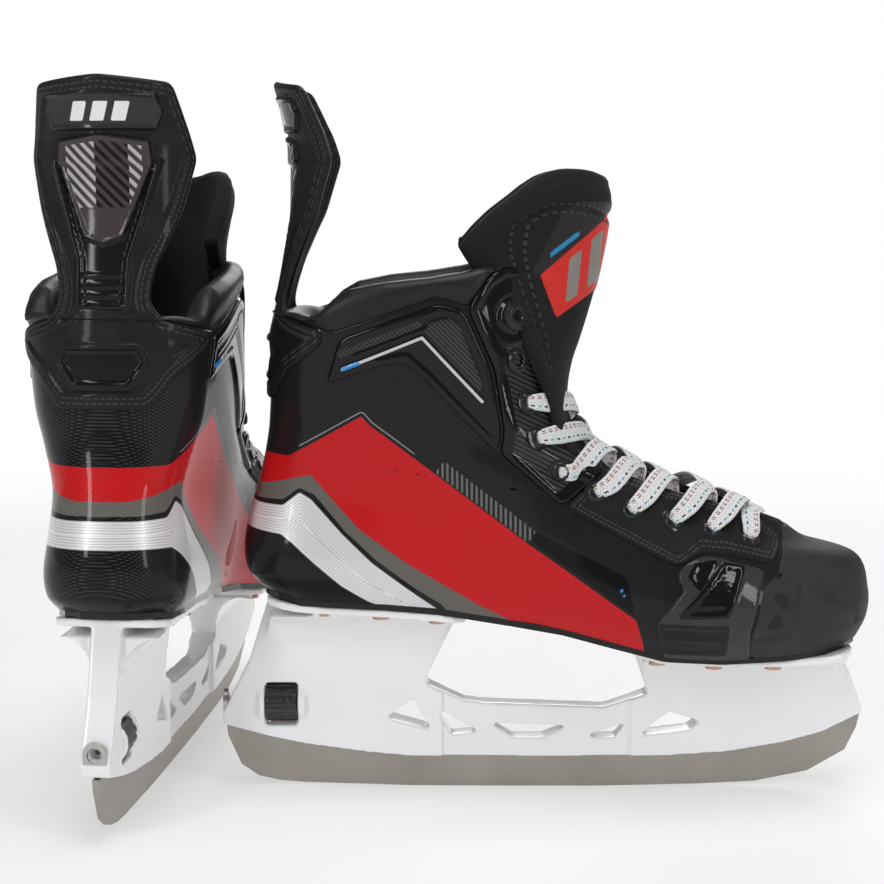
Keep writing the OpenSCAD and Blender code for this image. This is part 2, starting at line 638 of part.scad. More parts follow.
right_boot_shell();
right_toe_cap();
right_toe_plugs();
right_outsole();
right_footbed();
right_liner();
right_tongue_lower();
right_tongue_upper();
right_tongue_shield();
right_facings();
right_eyelets();
right_ankle_panels();
right_side_panels();
right_tendon_guard_base();
right_tendon_guard();
right_guard_badge();
right_lace();
right_lace_coils();
right_holder();
right_rivets();
right_runner();
right_lock_wheel();
right_lock_bolt();
right_lock_plate();
left_boot_shell();
left_toe_cap();
left_toe_plugs();
left_outsole();
left_footbed();
left_liner();
left_tongue_lower();
left_tongue_upper();
left_tongue_shield();
left_facings();
left_eyelets();
left_ankle_panels();
left_side_panels();
left_tendon_guard_base();
left_tendon_guard();
left_guard_badge();
left_lace();
left_lace_coils();
left_holder();
left_rivets();
left_runner();
left_lock_wheel();
left_lock_bolt();
left_lock_plate();
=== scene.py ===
"""The looks of a pair of ice hockey skates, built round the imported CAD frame.

Every piece is drawn once in the skate's own frame, in millimetres: +X towards the toe, +Y to the
right skate's left, +Z up from the ice. It is then placed for the right skate and mirrored for the left.
"""
import json
import math

import bmesh
import bpy
import numpy as np
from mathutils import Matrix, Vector
from mathutils.geometry import delaunay_2d_cdt


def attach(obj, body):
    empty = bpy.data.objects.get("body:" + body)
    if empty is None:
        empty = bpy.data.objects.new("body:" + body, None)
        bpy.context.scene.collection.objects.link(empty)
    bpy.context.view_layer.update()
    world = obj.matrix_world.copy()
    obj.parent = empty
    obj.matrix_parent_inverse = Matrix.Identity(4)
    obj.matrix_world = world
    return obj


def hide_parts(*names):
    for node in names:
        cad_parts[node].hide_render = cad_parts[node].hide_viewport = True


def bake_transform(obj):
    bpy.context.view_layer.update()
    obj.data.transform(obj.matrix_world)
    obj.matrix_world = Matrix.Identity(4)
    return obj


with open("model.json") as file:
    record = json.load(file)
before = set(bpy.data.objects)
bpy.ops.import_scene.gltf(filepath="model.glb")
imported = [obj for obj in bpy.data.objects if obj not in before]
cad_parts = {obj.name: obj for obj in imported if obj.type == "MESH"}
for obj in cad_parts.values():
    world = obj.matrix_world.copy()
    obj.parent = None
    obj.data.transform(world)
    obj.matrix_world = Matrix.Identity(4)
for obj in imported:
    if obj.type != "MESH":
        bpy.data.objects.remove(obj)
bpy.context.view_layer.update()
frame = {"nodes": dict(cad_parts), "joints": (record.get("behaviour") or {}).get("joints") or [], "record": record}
nodes = frame["nodes"]
MM = 0.001


# ---------------------------------------------------------------- placing
class Skate:
    """One skate's place in the row frame."""

    def __init__(self, side):
        self.side = side
        joint = next(j for j in frame["joints"] if j["name"] == f"{side}_wheel_turn")
        mount = next(m for m in frame["record"]["mounts"] if m["name"] == f"ice_contact_{side}")
        self.forward = np.array(joint["axis"], float)
        self.forward /= np.linalg.norm(self.forward)
        mount_ahead = 4 * MM
        self.origin = np.array(mount["pos_m"], float) - mount_ahead * self.forward
        across = np.array([-self.forward[1], self.forward[0], 0.0])
        self.mirrored = side == "left"
        self.across = -across if self.mirrored else across

    def row(self, points):
        """Skate points in mm, in the row frame in metres."""
        p = np.asarray(points, float) * MM
        return self.origin + np.outer(p[:, 0], self.forward) + np.outer(p[:, 1], self.across) \
            + np.outer(p[:, 2], [0, 0, 1])

    def local(self, points):
        """Row frame points in metres, in the skate's frame in mm."""
        p = (np.asarray(points, float) - self.origin) / MM
        return np.stack([p @ self.forward, p @ self.across, p[:, 2]], 1)


skates = [Skate("right"), Skate("left")]
right = skates[0]


def add_piece(skate, name, points, faces, material, slot, stands_for=(), sharp=60, values=None,
              body="boots"):
    """A mesh piece of one skate, from points in the skate's frame. values are numbers kept on its points."""
    mesh = bpy.data.meshes.new(f"{skate.side}_{name}")
    placed = skate.row(points)
    turned = [tuple(reversed(f)) for f in faces] if skate.mirrored else [tuple(f) for f in faces]
    mesh.from_pydata(placed.tolist(), [], turned)
    form = bmesh.new()
    form.from_mesh(mesh)
    bmesh.ops.recalc_face_normals(form, faces=form.faces)
    form.to_mesh(mesh)
    form.free()
    where = mesh.attributes.new("local", "FLOAT_VECTOR", "POINT")
    where.data.foreach_set("vector", np.asarray(points, np.float32).ravel())
    for key, numbers in (values or {}).items():
        mesh.attributes.new(key, "FLOAT", "POINT").data.foreach_set("value", np.asarray(numbers, np.float32))
    mesh.polygons.foreach_set("use_smooth", [True] * len(mesh.polygons))
    mesh.set_sharp_from_angle(angle=math.radians(sharp))
    mesh.materials.append(material)
    obj = bpy.data.objects.new(mesh.name, mesh)
    bpy.context.scene.collection.objects.link(obj)
    if stands_for:
        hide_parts(*[f"{skate.side}_{n}" for n in stands_for])
    if body:
        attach(obj, body)
    return obj


def add_pair(*what, **how):
    """The same piece on both skates."""
    return [add_piece(skate, *what, **how) for skate in skates]


# ---------------------------------------------------------------- small maths
def ease(f):
    """0 below 0, 1 above 1, and smooth between."""
    f = np.clip(f, 0, 1)
    return f * f * (3 - 2 * f)


def unit(v):
    v = np.asarray(v, float)
    return v / np.maximum(np.linalg.norm(v, axis=-1, keepdims=True), 1e-9)


def grid_faces(rows, cols, start=0, round_cols=False, round_rows=False):
    """Quads of a grid of points stored row by row."""
    i = np.arange(rows if round_rows else rows - 1)
    j = np.arange(cols if round_cols else cols - 1)
    i, j = [a.ravel() for a in np.meshgrid(i, j, indexing="ij")]
    i2, j2 = (i + 1) % rows, (j + 1) % cols
    quads = np.stack([i * cols + j, i * cols + j2, i2 * cols + j2, i2 * cols + j], 1) + start
    return quads.tolist()


def tube_faces(rows, cols):
    """Faces of a tube of rings stored ring by ring, closed at both ends."""
    ends = [tuple(range(cols)), tuple(range((rows - 1) * cols, rows * cols))[::-1]]
    return grid_faces(rows, cols, round_cols=True) + ends


def slab_faces(tris, count):
    """Faces of a slab: triangles on its top, the same ones count points further on, and its rim."""
    edges = dict.fromkeys(edge for face in tris for edge in zip(face, face[1:] + face[:1]))
    rim = [(b, a, a + count, b + count) for a, b in edges if (b, a) not in edges]
    return list(tris) + [tuple(v + count for v in face[::-1]) for face in tris] + rim


def settled(values, rounds):
    """A row of numbers with its kinks smoothed out."""
    for _ in range(rounds):
        values = np.convolve(np.r_[values[:1], values, values[-1:]], [0.25, 0.5, 0.25], "valid")
    return values


def catmull(a, b, c, d, f):
    """Share f of the way from b to c on the Catmull-Rom curve through all four."""
    return 0.5 * (2 * b + (c - a) * f + (2 * a - 5 * b + 4 * c - d) * f ** 2
                  + (3 * b - a - 3 * c + d) * f ** 3)


def smooth_line(points, step, closed=False):
    """Catmull-Rom line through given points, resampled evenly every step mm."""
    p = np.asarray(points, float)
    if closed:
        ext = np.concatenate([p[-1:], p, p[:2]])
    else:
        ext = np.concatenate([2 * p[:1] - p[1:2], p, 2 * p[-1:] - p[-2:-1]])
    f = np.linspace(0, 1, 12, endpoint=False)[:, None]
    out = []
    for k in range(len(ext) - 3):
        a, b, c, d = ext[k], ext[k + 1], ext[k + 2], ext[k + 3]
        out.append(catmull(a, b, c, d, f))
    line = np.concatenate(out + [ext[1:2] if closed else p[-1:]])
    return even(line, step, closed)


def even(line, step, closed=False):
    """The same line with its points evenly apart. A closed line comes back without its repeated end."""
    lengths = np.r_[0, np.cumsum(np.linalg.norm(np.diff(line, axis=0), axis=1))]
    count = max(3, int(round(lengths[-1] / step)) + 1)
    at = np.linspace(0, lengths[-1], count)
    out = np.stack([np.interp(at, lengths, line[:, k]) for k in range(line.shape[1])], 1)
    return out[:-1] if closed else out


def rounded(points, cut, rounds=2):
    """A closed outline with its corners cut back by up to cut mm, twice over."""
    p = np.asarray(points, float)
    for k in range(rounds):
        nxt = np.roll(p, -1, 0)
        gap = np.linalg.norm(nxt - p, axis=1, keepdims=True)
        share = np.minimum(cut / 2 ** k / np.maximum(gap, 1e-6), 0.3)
        p = np.stack([p + (nxt - p) * share, nxt - (nxt - p) * share], 1).reshape(-1, 2)
    return p


def inside_by(points, outline):
    """Distance in mm from each point to a closed outline, positive inside it."""
    p = np.asarray(points, float)[:, None, :]
    a = np.asarray(outline, float)[None]
    b = np.roll(a, -1, 1)
    ab = b - a
    share = np.clip(((p - a) * ab).sum(2) / np.maximum((ab ** 2).sum(2), 1e-12), 0, 1)
    far = np.linalg.norm(p - a - ab * share[..., None], axis=2).min(1)
    with np.errstate(divide="ignore", invalid="ignore"):
        crossing = ((a[..., 1] > p[..., 1]) != (b[..., 1] > p[..., 1])) & (
            p[..., 0] < ab[..., 0] * (p[..., 1] - a[..., 1]) / ab[..., 1] + a[..., 0])
    return np.where(crossing.sum(1) % 2 == 1, far, -far)


def line_distance(points, line):
    """Distance in mm from each point to an open line."""
    p = np.asarray(points, float)[:, None, :]
    a, b = np.asarray(line, float)[None, :-1], np.asarray(line, float)[None, 1:]
    ab = b - a
    share = np.clip(((p - a) * ab).sum(2) / np.maximum((ab ** 2).sum(2), 1e-12), 0, 1)
    return np.linalg.norm(p - a - ab * share[..., None], axis=2).min(1)


# ---------------------------------------------------------------- the boot's surface
# Rows from the sole up to the collar: rear x and z, front x and z, half widths at heel, waist, ball
# and toe, and rear and front rounding. They are part.scad's own.
ROWS = np.array([
    [-129, 95, 139.5, 72, 27, 25, 41, 33, 0.11, 0.17],
    [-135.5, 101, 143.5, 81, 30, 29, 47, 36, 0.11, 0.17],
    [-137, 112, 144, 93, 31.5, 32, 50, 37, 0.12, 0.18],
    [-134.5, 128, 138.5, 108.5, 29.5, 34, 44, 29, 0.12, 0.20],
    [-129, 147, 115, 116.5, 28, 35, 35, 25, 0.12, 0.24],
    [-125.5, 165, 95.5, 129.5, 32, 36.5, 29.5, 20, 0.13, 0.30],
    [-124.4, 181, 60, 140, 36, 38, 31, 22, 0.16, 0.34],
    [-124, 194, 30, 154, 37.5, 39.5, 36, 28, 0.19, 0.38],
    [-123, 206, 10.5, 180, 38.5, 40.5, 40, 34, 0.22, 0.42],
    [-121, 218, 5, 210, 39.5, 42, 41, 35, 0.24, 0.42],
    [-118, 236, -3, 242, 40.5, 43, 42, 36, 0.26, 0.42]])
TOP_ROW = len(ROWS) - 1
WIDTH_AT = np.array([0.12, 0.4, 0.7, 0.92])
SOLE = np.array([[-137, 96], [-129, 93], [-110, 90], [-72, 88], [-50, 86], [-20, 81], [5, 77.5], [34, 71.5],
                 [48, 68.5], [75, 67], [101.5, 67], [119, 68], [143.5, 71]])
SOLE_THICK = 3
SHELL_WALL = 3


def row_at(t):
    """ROWS at t, smoothly between the rows."""
    t = np.clip(t, 0, TOP_ROW)
    i = np.minimum(t.astype(int), TOP_ROW - 1)
    f = (t - i)[..., None]
    a, b, c, d = [ROWS[np.clip(i + k, 0, TOP_ROW)] for k in (-1, 0, 1, 2)]
    return catmull(a, b, c, d, f)


def end_round(v, power):
    """Share of the full width at v of the way from an end, 1 from v = 1 on."""
    return (1 - (1 - np.clip(v, 0, 1)) ** power) ** (1 / power)


def surface(w, t):
    """A point of the boot. w runs round it from -1 at the toe along the right side, 0 at the heel, to 1
    at the toe along the left side. t runs up the rows."""
    w, t = np.broadcast_arrays(np.asarray(w, float), np.asarray(t, float))
    w = np.where(np.abs(w) > 1, w - 2 * np.sign(w), w)
    u = (1 - np.cos(np.pi * np.abs(w))) / 2
    row = row_at(t)
    x = row[..., 0] + (row[..., 2] - row[..., 0]) * u
    bend = np.interp(x, SOLE[:, 0], SOLE[:, 1]) + SOLE_THICK - (ROWS[0][1] + (ROWS[0][3] - ROWS[0][1]) * u)
    k = np.clip(np.searchsorted(WIDTH_AT, u) - 1, 0, 2)
    f = ease((u - WIDTH_AT[k]) / (WIDTH_AT[k + 1] - WIDTH_AT[k]))
    low, high = [np.take_along_axis(row, (4 + k + n)[..., None], -1)[..., 0] for n in (0, 1)]
    wide = (low + (high - low) * f) * end_round(u / row[..., 8], 2.2) * end_round((1 - u) / row[..., 9], 2)
    z = row[..., 1] + (row[..., 3] - row[..., 1]) * u + np.clip(1 - t / 4, 0, 1) ** 1.5 * bend
    return np.stack([x, np.sign(w) * wide, z], -1)


def outward(w, t):
    """Unit normal of the boot's surface, pointing away from the foot."""
    e = 2e-3
    along = surface(w + e, t) - surface(w - e, t)
    up = surface(w, np.clip(t + e * 4, 0, TOP_ROW)) - surface(w, np.clip(t - e * 4, 0, TOP_ROW))
    return -unit(np.cross(along, up))


def skin_point(w, t, height=0.0):
    """A point height mm proud of the boot's surface."""
    w, t = np.broadcast_arrays(np.asarray(w, float), np.asarray(t, float))
    return surface(w, t) + outward(w, t) * np.asarray(height)[..., None]


seed_w, seed_t = [a.ravel() for a in np.meshgrid(np.linspace(0.02, 0.99, 70), np.linspace(0, TOP_ROW, 70))]
seeds = surface(seed_w, seed_t)[:, [0, 2]]


def on_side(points):
    """(w, t) of side-view points [x, z] on the boot's surface, for the side with w above 0."""
    p = np.asarray(points, float)
    near = np.array([((seeds - q) ** 2).sum(1).argmin() for q in p])
    w, t = seed_w[near], seed_t[near]
    e = 1e-4
    for _ in range(12):
        here = surface(w, t)[:, [0, 2]]
        dw = (surface(w + e, t)[:, [0, 2]] - here) / e
        dt = (surface(w, t + e)[:, [0, 2]] - here) / e
        det = dw[:, 0] * dt[:, 1] - dw[:, 1] * dt[:, 0]
        det = np.where(np.abs(det) < 1e-6, 1e-6, det)
        miss = p - here
        add_w = (miss[:, 0] * dt[:, 1] - miss[:, 1] * dt[:, 0]) / det
        add_t = (dw[:, 0] * miss[:, 1] - dw[:, 1] * miss[:, 0]) / det
        w = np.clip(w + np.clip(add_w, -0.05, 0.05), 0.005, 0.998)
        t = np.clip(t + np.clip(add_t, -0.5, 0.5), 0, TOP_ROW)
    return w, t


# Side-view edges: x at each z of the toe cap's rear edge, z at each x of the shell's top, and half the
# width at each x of the opening over the tongue
CAP_EDGE = np.array([[67.5, 78], [82, 86], [101, 91], [106.5, 98], [120, 104]])
SHELL_TOP = np.array([[-140, 215], [-112, 215], [-94, 211], [-50, 226], [-37, 222], [-32, 225], [-28, 234],
                      [-22, 239], [-16, 240.5], [-9, 239.5], [-3, 236], [1, 230], [3.4, 219]])
THROAT_GAP = np.array([[-30, 22], [8, 21], [40, 16], [78, 12.5], [95, 10], [100, 7], [103, 0]])


def bisect(test, low, high, rounds=30):
    """Where test turns from positive to negative, between low and high."""
    low, high = np.array(low, float), np.array(high, float)
    for _ in range(rounds):
        mid = (low + high) / 2
        positive = test(mid) > 0
        low, high = np.where(positive, mid, low), np.where(positive, high, mid)
    return (low + high) / 2


def throat_w(t, extra=0.0):
    """Where row t meets the edge of the opening over the tongue."""
    t = np.asarray(t, float)

    def test(w):
        p = surface(w, t)
        return p[..., 1] - np.interp(p[..., 0], THROAT_GAP[:, 0], THROAT_GAP[:, 1]) - extra
    return bisect(test, np.full(t.shape, 0.6), np.ones(t.shape))


def cap_w(t, ahead=0.0):
    """Where row t meets the toe cap's rear edge."""
    t = np.asarray(t, float)

    def test(w):
        p = surface(w, t)
        return np.interp(p[..., 2], CAP_EDGE[:, 0], CAP_EDGE[:, 1]) + ahead - p[..., 0]
    return bisect(test, np.full(t.shape, 0.3), np.ones(t.shape))


def front_w(t):
    """Where row t of the shell ends in front."""
    return np.minimum(throat_w(t), cap_w(t, ahead=2.5))


def top_t(w, line):
    """Row at which the boot's surface reaches a line [x, z] at w."""
    w = np.abs(np.asarray(w, float))

    def test(t):
        p = surface(w, t)
        return np.interp(p[..., 0], line[:, 0], line[:, 1]) - p[..., 2]
    return bisect(test, np.full(w.shape, 5.5), np.full(w.shape, float(TOP_ROW)))


def skin_grid(rows, cols, top_line, front=front_w, bottom=0.0):
    """(w, t) of a grid over the boot, from its bottom to a top line and back from its front edges."""
    share, along = np.meshgrid(np.linspace(0, 1, rows), np.linspace(-1, 1, cols), indexing="ij")
    rows_at, places_at = np.linspace(0, TOP_ROW, 400), np.linspace(0, 1, 400)
    fronts, tops = front(rows_at), top_t(places_at, top_line)
    t = bottom + (TOP_ROW - bottom) * share
    for _ in range(10):
        w = along * np.interp(t, rows_at, fronts)
        t = bottom + (np.interp(np.abs(w), places_at, tops) - bottom) * share
    return w, t


def closed_skin(outer, inner, bulge):
    """Points and faces of a sheet with thickness, from two grids, with a rounded rim."""
    rows, cols = outer.shape[:2]
    points = [outer.reshape(-1, 3), inner.reshape(-1, 3)]
    count = rows * cols
    faces = [f[::-1] for f in grid_faces(rows, cols)] + grid_faces(rows, cols, start=count)
    index = np.arange(count).reshape(rows, cols)
    loop = np.concatenate([index[0, :-1], index[:-1, -1], index[-1, :0:-1], index[:0:-1, 0]])
    back = np.concatenate([index[1, :-1], index[:-1, -2], index[-2, :0:-1], index[:0:-1, 1]])
    flat_out, flat_in = points[0], points[1]
    away = unit((flat_out[loop] + flat_in[loop]) - (flat_out[back] + flat_in[back]))
    shares = [(0.15, 0.75), (0.5, 1.0), (0.85, 0.75)]
    rings = [flat_out[loop] * (1 - f) + flat_in[loop] * f + away * bulge * b for f, b in shares]
    starts = [2 * count + k * len(loop) for k in range(len(rings))]
    chain = [loop] + [np.arange(len(loop)) + s for s in starts] + [loop + count]
    for a, b in zip(chain[:-1], chain[1:]):
        a2, b2 = np.roll(a, -1), np.roll(b, -1)
        faces += np.stack([a, a2, b2, b], 1).tolist()
    return np.concatenate(points + rings), faces


def plate_mesh(outline, spacing, edge, rim=(0.35, 0.9)):
    """A flat triangle mesh inside an outline: points, triangles, and each point's distance to the edge."""
    ring = even(np.vstack([outline, outline[:1]]), spacing * 0.7, closed=True)
    area = 0.5 * np.sum(ring[:, 0] * np.roll(ring[:, 1], -1) - ring[:, 1] * np.roll(ring[:, 0], -1))
    if area < 0:
        ring = ring[::-1]
    tangent = unit(np.roll(ring, -1, 0) - np.roll(ring, 1, 0))
    inward = np.stack([-tangent[:, 1], tangent[:, 0]], 1)
    inner = [ring + inward * d for d in (*rim, edge)]
    keep = [q[inside_by(q, ring) > d * 0.8] for q, d in zip(inner, (*rim, edge))]
    low, high = ring.min(0), ring.max(0)
    gx, gy = np.meshgrid(np.arange(low[0], high[0], spacing), np.arange(low[1], high[1], spacing * 0.866))
    gx = gx + (np.arange(gx.shape[0]) % 2)[:, None] * spacing / 2
    grid = np.stack([gx.ravel(), gy.ravel()], 1)
    grid = grid[inside_by(grid, ring) > edge + spacing * 0.4]
    points = np.concatenate([ring, *keep, grid])
    n = len(ring)
    edges = [(k, (k + 1) % n) for k in range(n)]
    made = delaunay_2d_cdt([Vector(p) for p in points], edges, [list(range(n))], 1, 1e-4)
    flat = np.array([tuple(v) for v in made[0]])
    tris = [tuple(face) for face in made[2]]
    border = [k for k, v in enumerate(made[3]) if any(o < n for o in v)]
    far = inside_by(flat, ring)
    far[border] = 0
    return flat, tris, np.maximum(far, 0)


def side_plate(outline, height, sign, spacing, relief):
    """A raised plate on one side of the boot: its closed mesh, and its side-view points.
    It is height mm proud, with a rounded edge, and relief(points) adds mm."""
    edge, sink = 1.5, 0.7
    flat, tris, far = plate_mesh(rounded(outline, 2.0), spacing, edge)
    f = np.clip(far / edge, 0, 1)
    rise = -0.15 + (height + 0.15) * np.sqrt(np.clip(1 - (1 - f) ** 2, 0, 1))
    rise = rise + relief(flat) * ease(f)
    w, t = on_side(flat)
    base, normal = surface(sign * w, t), outward(sign * w, t)
    top, under = base + normal * rise[:, None], base - normal * sink
    faces = slab_faces([face if sign < 0 else face[::-1] for face in tris], len(flat))
    return np.concatenate([top, under]), faces, np.concatenate([flat, flat])


def both_sides(make):
    """One mesh from make(-1) and make(1), each of which gives points, faces and side-view points."""
    points, faces, flats, start = [], [], [], 0
    for sign in (-1, 1):
        p, f, flat = make(sign)
        points.append(p)
        flats.append(flat)
        faces += [tuple(v + start for v in face) for face in f]
        start += len(p)
    return np.concatenate(points), faces, np.concatenate(flats)


# ---------------------------------------------------------------- materials
class Value:
    """A number or a colour in a material's nodes, which + - * and abs() work on."""

    def __init__(self, look, socket):
        self.look = look
        self.socket = socket

    def __add__(self, other):
        return self.look.math("ADD", self, other)

    def __sub__(self, other):
        return self.look.math("SUBTRACT", self, other)

    def __rsub__(self, other):
        return self.look.math("SUBTRACT", other, self)

    def __mul__(self, other):
        return self.look.math("MULTIPLY", self, other)

    def __abs__(self):
        return self.look.math("ABSOLUTE", self)

    def either(self, other):
        return self.look.math("MAXIMUM", self, other)


class Nodes:
    """A short way to write a material's nodes. at is the place in mm, and x, y and z are its parts."""

    def __init__(self, name, on_cad=False):
        self.material = bpy.data.materials.new(name)
        self.material.use_nodes = True
        self.tree = self.material.node_tree
        self.shader = self.tree.nodes["Principled BSDF"]
        if on_cad:
            here = self.node("TexCoord", {}, "Object")
            self.at = self.node("VectorMath", {0: here, 3: 1 / MM}, operation="SCALE")
        else:
            self.at = self.node("Attribute", {}, "Vector", attribute_name="local")
        self.x, self.y, self.z = [self.node("SeparateXYZ", {0: self.at}, k) for k in range(3)]

    def node(self, kind, inputs, out=0, **settings):
        """An output of a new node, whose inputs are given by name or number."""
        made = self.tree.nodes.new("ShaderNode" + kind)
        for name, setting in settings.items():
            setattr(made, name, setting)
        for name, value in inputs.items():
            self.link(value, made.inputs[name])
        return Value(self, made.outputs[out])

    def link(self, value, socket):
        if isinstance(value, Value):
            self.tree.links.new(value.socket, socket)
        elif isinstance(value, (tuple, list)) and socket.type == "RGBA":
            socket.default_value = (*value[:3], 1)
        else:
            socket.default_value = value

    def math(self, operation, a, b=0.0, c=0.0):
        return self.node("Math", {0: a, 1: b, 2: c}, operation=operation)

    def values(self, *names):
        """Numbers kept on the mesh's points."""
        return [self.node("Attribute", {}, "Fac", attribute_name=name) for name in names]

    def mix(self, share, a, b):
        return self.node("Mix", {0: share, 6: a, 7: b}, 2, data_type="RGBA")

    def between(self, share, a, b):
        """The number a where share is 0 and b where it is 1."""
        return self.math("MULTIPLY_ADD", share, b - a, a)

    def step(self, value, at=0.0, soft=0.12):
        """0 below at, 1 above it, with a soft edge."""
        return self.node("MapRange", {0: value, 1: at - soft, 2: at + soft, 3: 0.0, 4: 1.0},
                         interpolation_type="SMOOTHSTEP")

    def line(self, value, at, soft=0.1):
        """1 where value is within at of 0, and 0 further out."""
        return 1 - self.step(abs(value), at, soft)

    def wave(self, value, pitch):
        """0 to 1 and back, once every pitch."""
        return self.math("MULTIPLY_ADD", self.math("SINE", value * (2 * math.pi / pitch)), 0.5, 0.5)

    def noise(self, scale, detail=3.0, rough=0.5, vector=None):
        return self.node("TexNoise", {"Vector": vector or self.at, "Scale": scale, "Detail": detail,
                                      "Roughness": rough})

    def cells(self, scale):
        return self.node("TexVoronoi", {"Vector": self.at, "Scale": scale}, feature="DISTANCE_TO_EDGE")

    def bump(self, height, distance, strength=1.0, before=None):
        inputs = {"Strength": strength, "Distance": distance * MM, "Height": height}
        if before:
            inputs["Normal"] = before
        return self.node("Bump", inputs)

    def finish(self, color, rough=0.5, normal=None, metal=0.0, **fixed):
        self.link(color, self.shader.inputs["Base Color"])
        self.link(rough, self.shader.inputs["Roughness"])
        self.link(metal, self.shader.inputs["Metallic"])
        if normal:
            self.link(normal, self.shader.inputs["Normal"])
        for name, number in fixed.items():
            self.shader.inputs[name.replace("_", " ")].default_value = number
        return self.material


BLUE = (0.03, 0.22, 0.55)


def shell_material():
    """Carbon weave under clear coat, with painted bands where red, grey and white are above 0."""
    n = Nodes("shell_clearcoat")
    red, grey, white, hatch, plate, mark = n.values("red", "grey", "white", "hatch", "plate", "mark")
    red_on, grey_on, white_on = n.step(red), n.step(grey), n.step(white)
    run = n.x + n.z
    heel = (1 - n.step(n.z, 103, 1)) * (1 - n.step(n.x, -60, 1))
    dots = n.wave(run, 1.5) * n.wave(n.z - n.x, 1.5) * (1 - n.step(plate).either(heel))
    ribs = n.wave(run, 1.1)
    color = n.mix(dots, (0.003, 0.003, 0.0035), (0.040, 0.041, 0.044))
    color = n.mix(n.step(hatch) * n.step(n.wave(n.x, 2.1), 0.55, 0.1), color, (0.13, 0.13, 0.13))
    color = n.mix(red_on, color, n.mix(ribs, (0.40, 0.004, 0.007), (0.62, 0.015, 0.018)))
    color = n.mix(grey_on, color, n.mix(ribs, (0.10, 0.095, 0.085), (0.15, 0.14, 0.125)))
    color = n.mix(white_on, color, n.mix(n.wave(white, 1.15), (0.80, 0.80, 0.81), (0.52, 0.52, 0.54)))
    upper_front = n.step(run, 52, 1) * n.step(n.z, 100, 1) * (1 - n.step(n.x, -60, 1))
    color = n.mix(n.line(red + 1.7, 0.28) * upper_front, color, (0.22, 0.22, 0.23))
    color = n.mix(n.step(mark), color, BLUE)
    color = n.mix(n.noise(0.05) * 0.03, color, (0.06, 0.06, 0.065))
    painted = red_on.either(grey_on).either(white_on)
    height = dots * 0.6 + ribs * (painted * 0.5)
    return n.finish(color, n.between(painted, 0.32, 0.38), n.bump(height, 0.06, 0.5), white_on * 0.25,
                    Coat_Weight=0.55, Coat_Roughness=0.04, Coat_IOR=1.28, Specular_IOR_Level=0.06)


def gloss_material(name="moulded_gloss", color=(0.006, 0.006, 0.007)):
    n = Nodes(name)
    tint = n.mix(n.noise(0.35), color, tuple(c * 2.2 for c in color))
    return n.finish(tint, 0.14, n.bump(n.noise(1.4, 2), 0.05, 0.35), Coat_Weight=0.7, Coat_Roughness=0.05,
                    Coat_IOR=1.33, Specular_IOR_Level=0.1)


def cap_material():
    n = Nodes("cap_matte")
    cloud = n.noise(0.12, 4)
    tint = n.mix(cloud, (0.018, 0.018, 0.0195), (0.036, 0.036, 0.039))
    return n.finish(tint, n.between(cloud, 0.46, 0.58), n.bump(n.cells(1.4) * 1.6, 0.16, 0.8),
                    Specular_IOR_Level=0.2)


def stitches(n, seam, along, inset, half, width, pitch, lit=0.25, soft=0.1):
    """Two stitch rows, half to each side of inset from the edge: their lines and their threads."""
    lines = n.line(abs(seam - inset) - half, width, soft)
    return lines, lines * n.step(n.wave(along, pitch), lit, 0.15)


def sewn_material():
    """Matte texture with two stitch rows, whose distance from the edge is kept in seam."""
    n = Nodes("sewn_matte")
    seam, along = n.values("seam", "along")
    _, stitch = stitches(n, seam, along, 3.1, 0.75, 0.28, 2.6)
    groove = n.line(seam - 3.1, 1.3, 0.35)
    base = n.mix(n.noise(0.12, 4), (0.006, 0.006, 0.0065), (0.015, 0.015, 0.016))
    color = n.mix(stitch, n.mix(groove, base, (0.012, 0.012, 0.012)), (0.055, 0.055, 0.057))
    height = n.cells(1.9) * 0.8 + (groove * -1.2 + stitch * 1.6)
    return n.finish(color, 0.56, n.bump(height, 0.3, 0.9), Specular_IOR_Level=0.14)


def leather_material():
    n = Nodes("collar_leather")
    fine = n.noise(1.2, 5, 0.6)
    color = n.mix(n.noise(0.04, 3), (0.006, 0.006, 0.0065), (0.016, 0.016, 0.017))
    bump = n.bump(fine, 0.12, 0.5, n.bump(n.cells(0.9), 0.16, 0.5))
    return n.finish(color, n.between(fine, 0.34, 0.48), bump, Specular_IOR_Level=0.25)


def lining_material():
    n = Nodes("lining_cloth")
    fuzz = n.noise(1.8, 6, 0.7)
    tint = n.mix(fuzz, (0.006, 0.006, 0.0065), (0.0288, 0.0288, 0.0312))
    bump = n.bump(fuzz, 0.35, 0.8, n.bump(n.noise(0.08, 3), 1.2, 0.4))
    return n.finish(tint, 0.85, bump, Sheen_Weight=0.25, Sheen_Roughness=0.4)


def holder_material():
    n = Nodes("holder_white")
    fine = n.noise(0.9, 2)
    color = n.mix(n.noise(0.03, 3), (0.80, 0.81, 0.83), (0.86, 0.86, 0.87))
    return n.finish(color, n.between(fine, 0.12, 0.24), n.bump(fine, 0.03, 0.25), Coat_Weight=0.5,
                    Coat_Roughness=0.06, Subsurface_Weight=0.05, Subsurface_Radius=(0.004, 0.004, 0.004))


def steel_material():
    """Steel ground lengthwise."""
    n = Nodes("ground_steel", on_cad=True)
    stretched = n.node("CombineXYZ", {0: n.x * 0.05, 1: n.y * 0.05, 2: n.z * 6.0})
    lines = n.noise(1.0, 4, 0.6, stretched)
    color = n.mix(n.noise(0.03, 3), (0.30, 0.275, 0.25), (0.46, 0.43, 0.39))
    color = n.mix(lines * 0.35, color, (0.20, 0.185, 0.17))
    return n.finish(color, n.between(lines, 0.26, 0.44), n.bump(lines, 0.03, 0.4), 1.0)


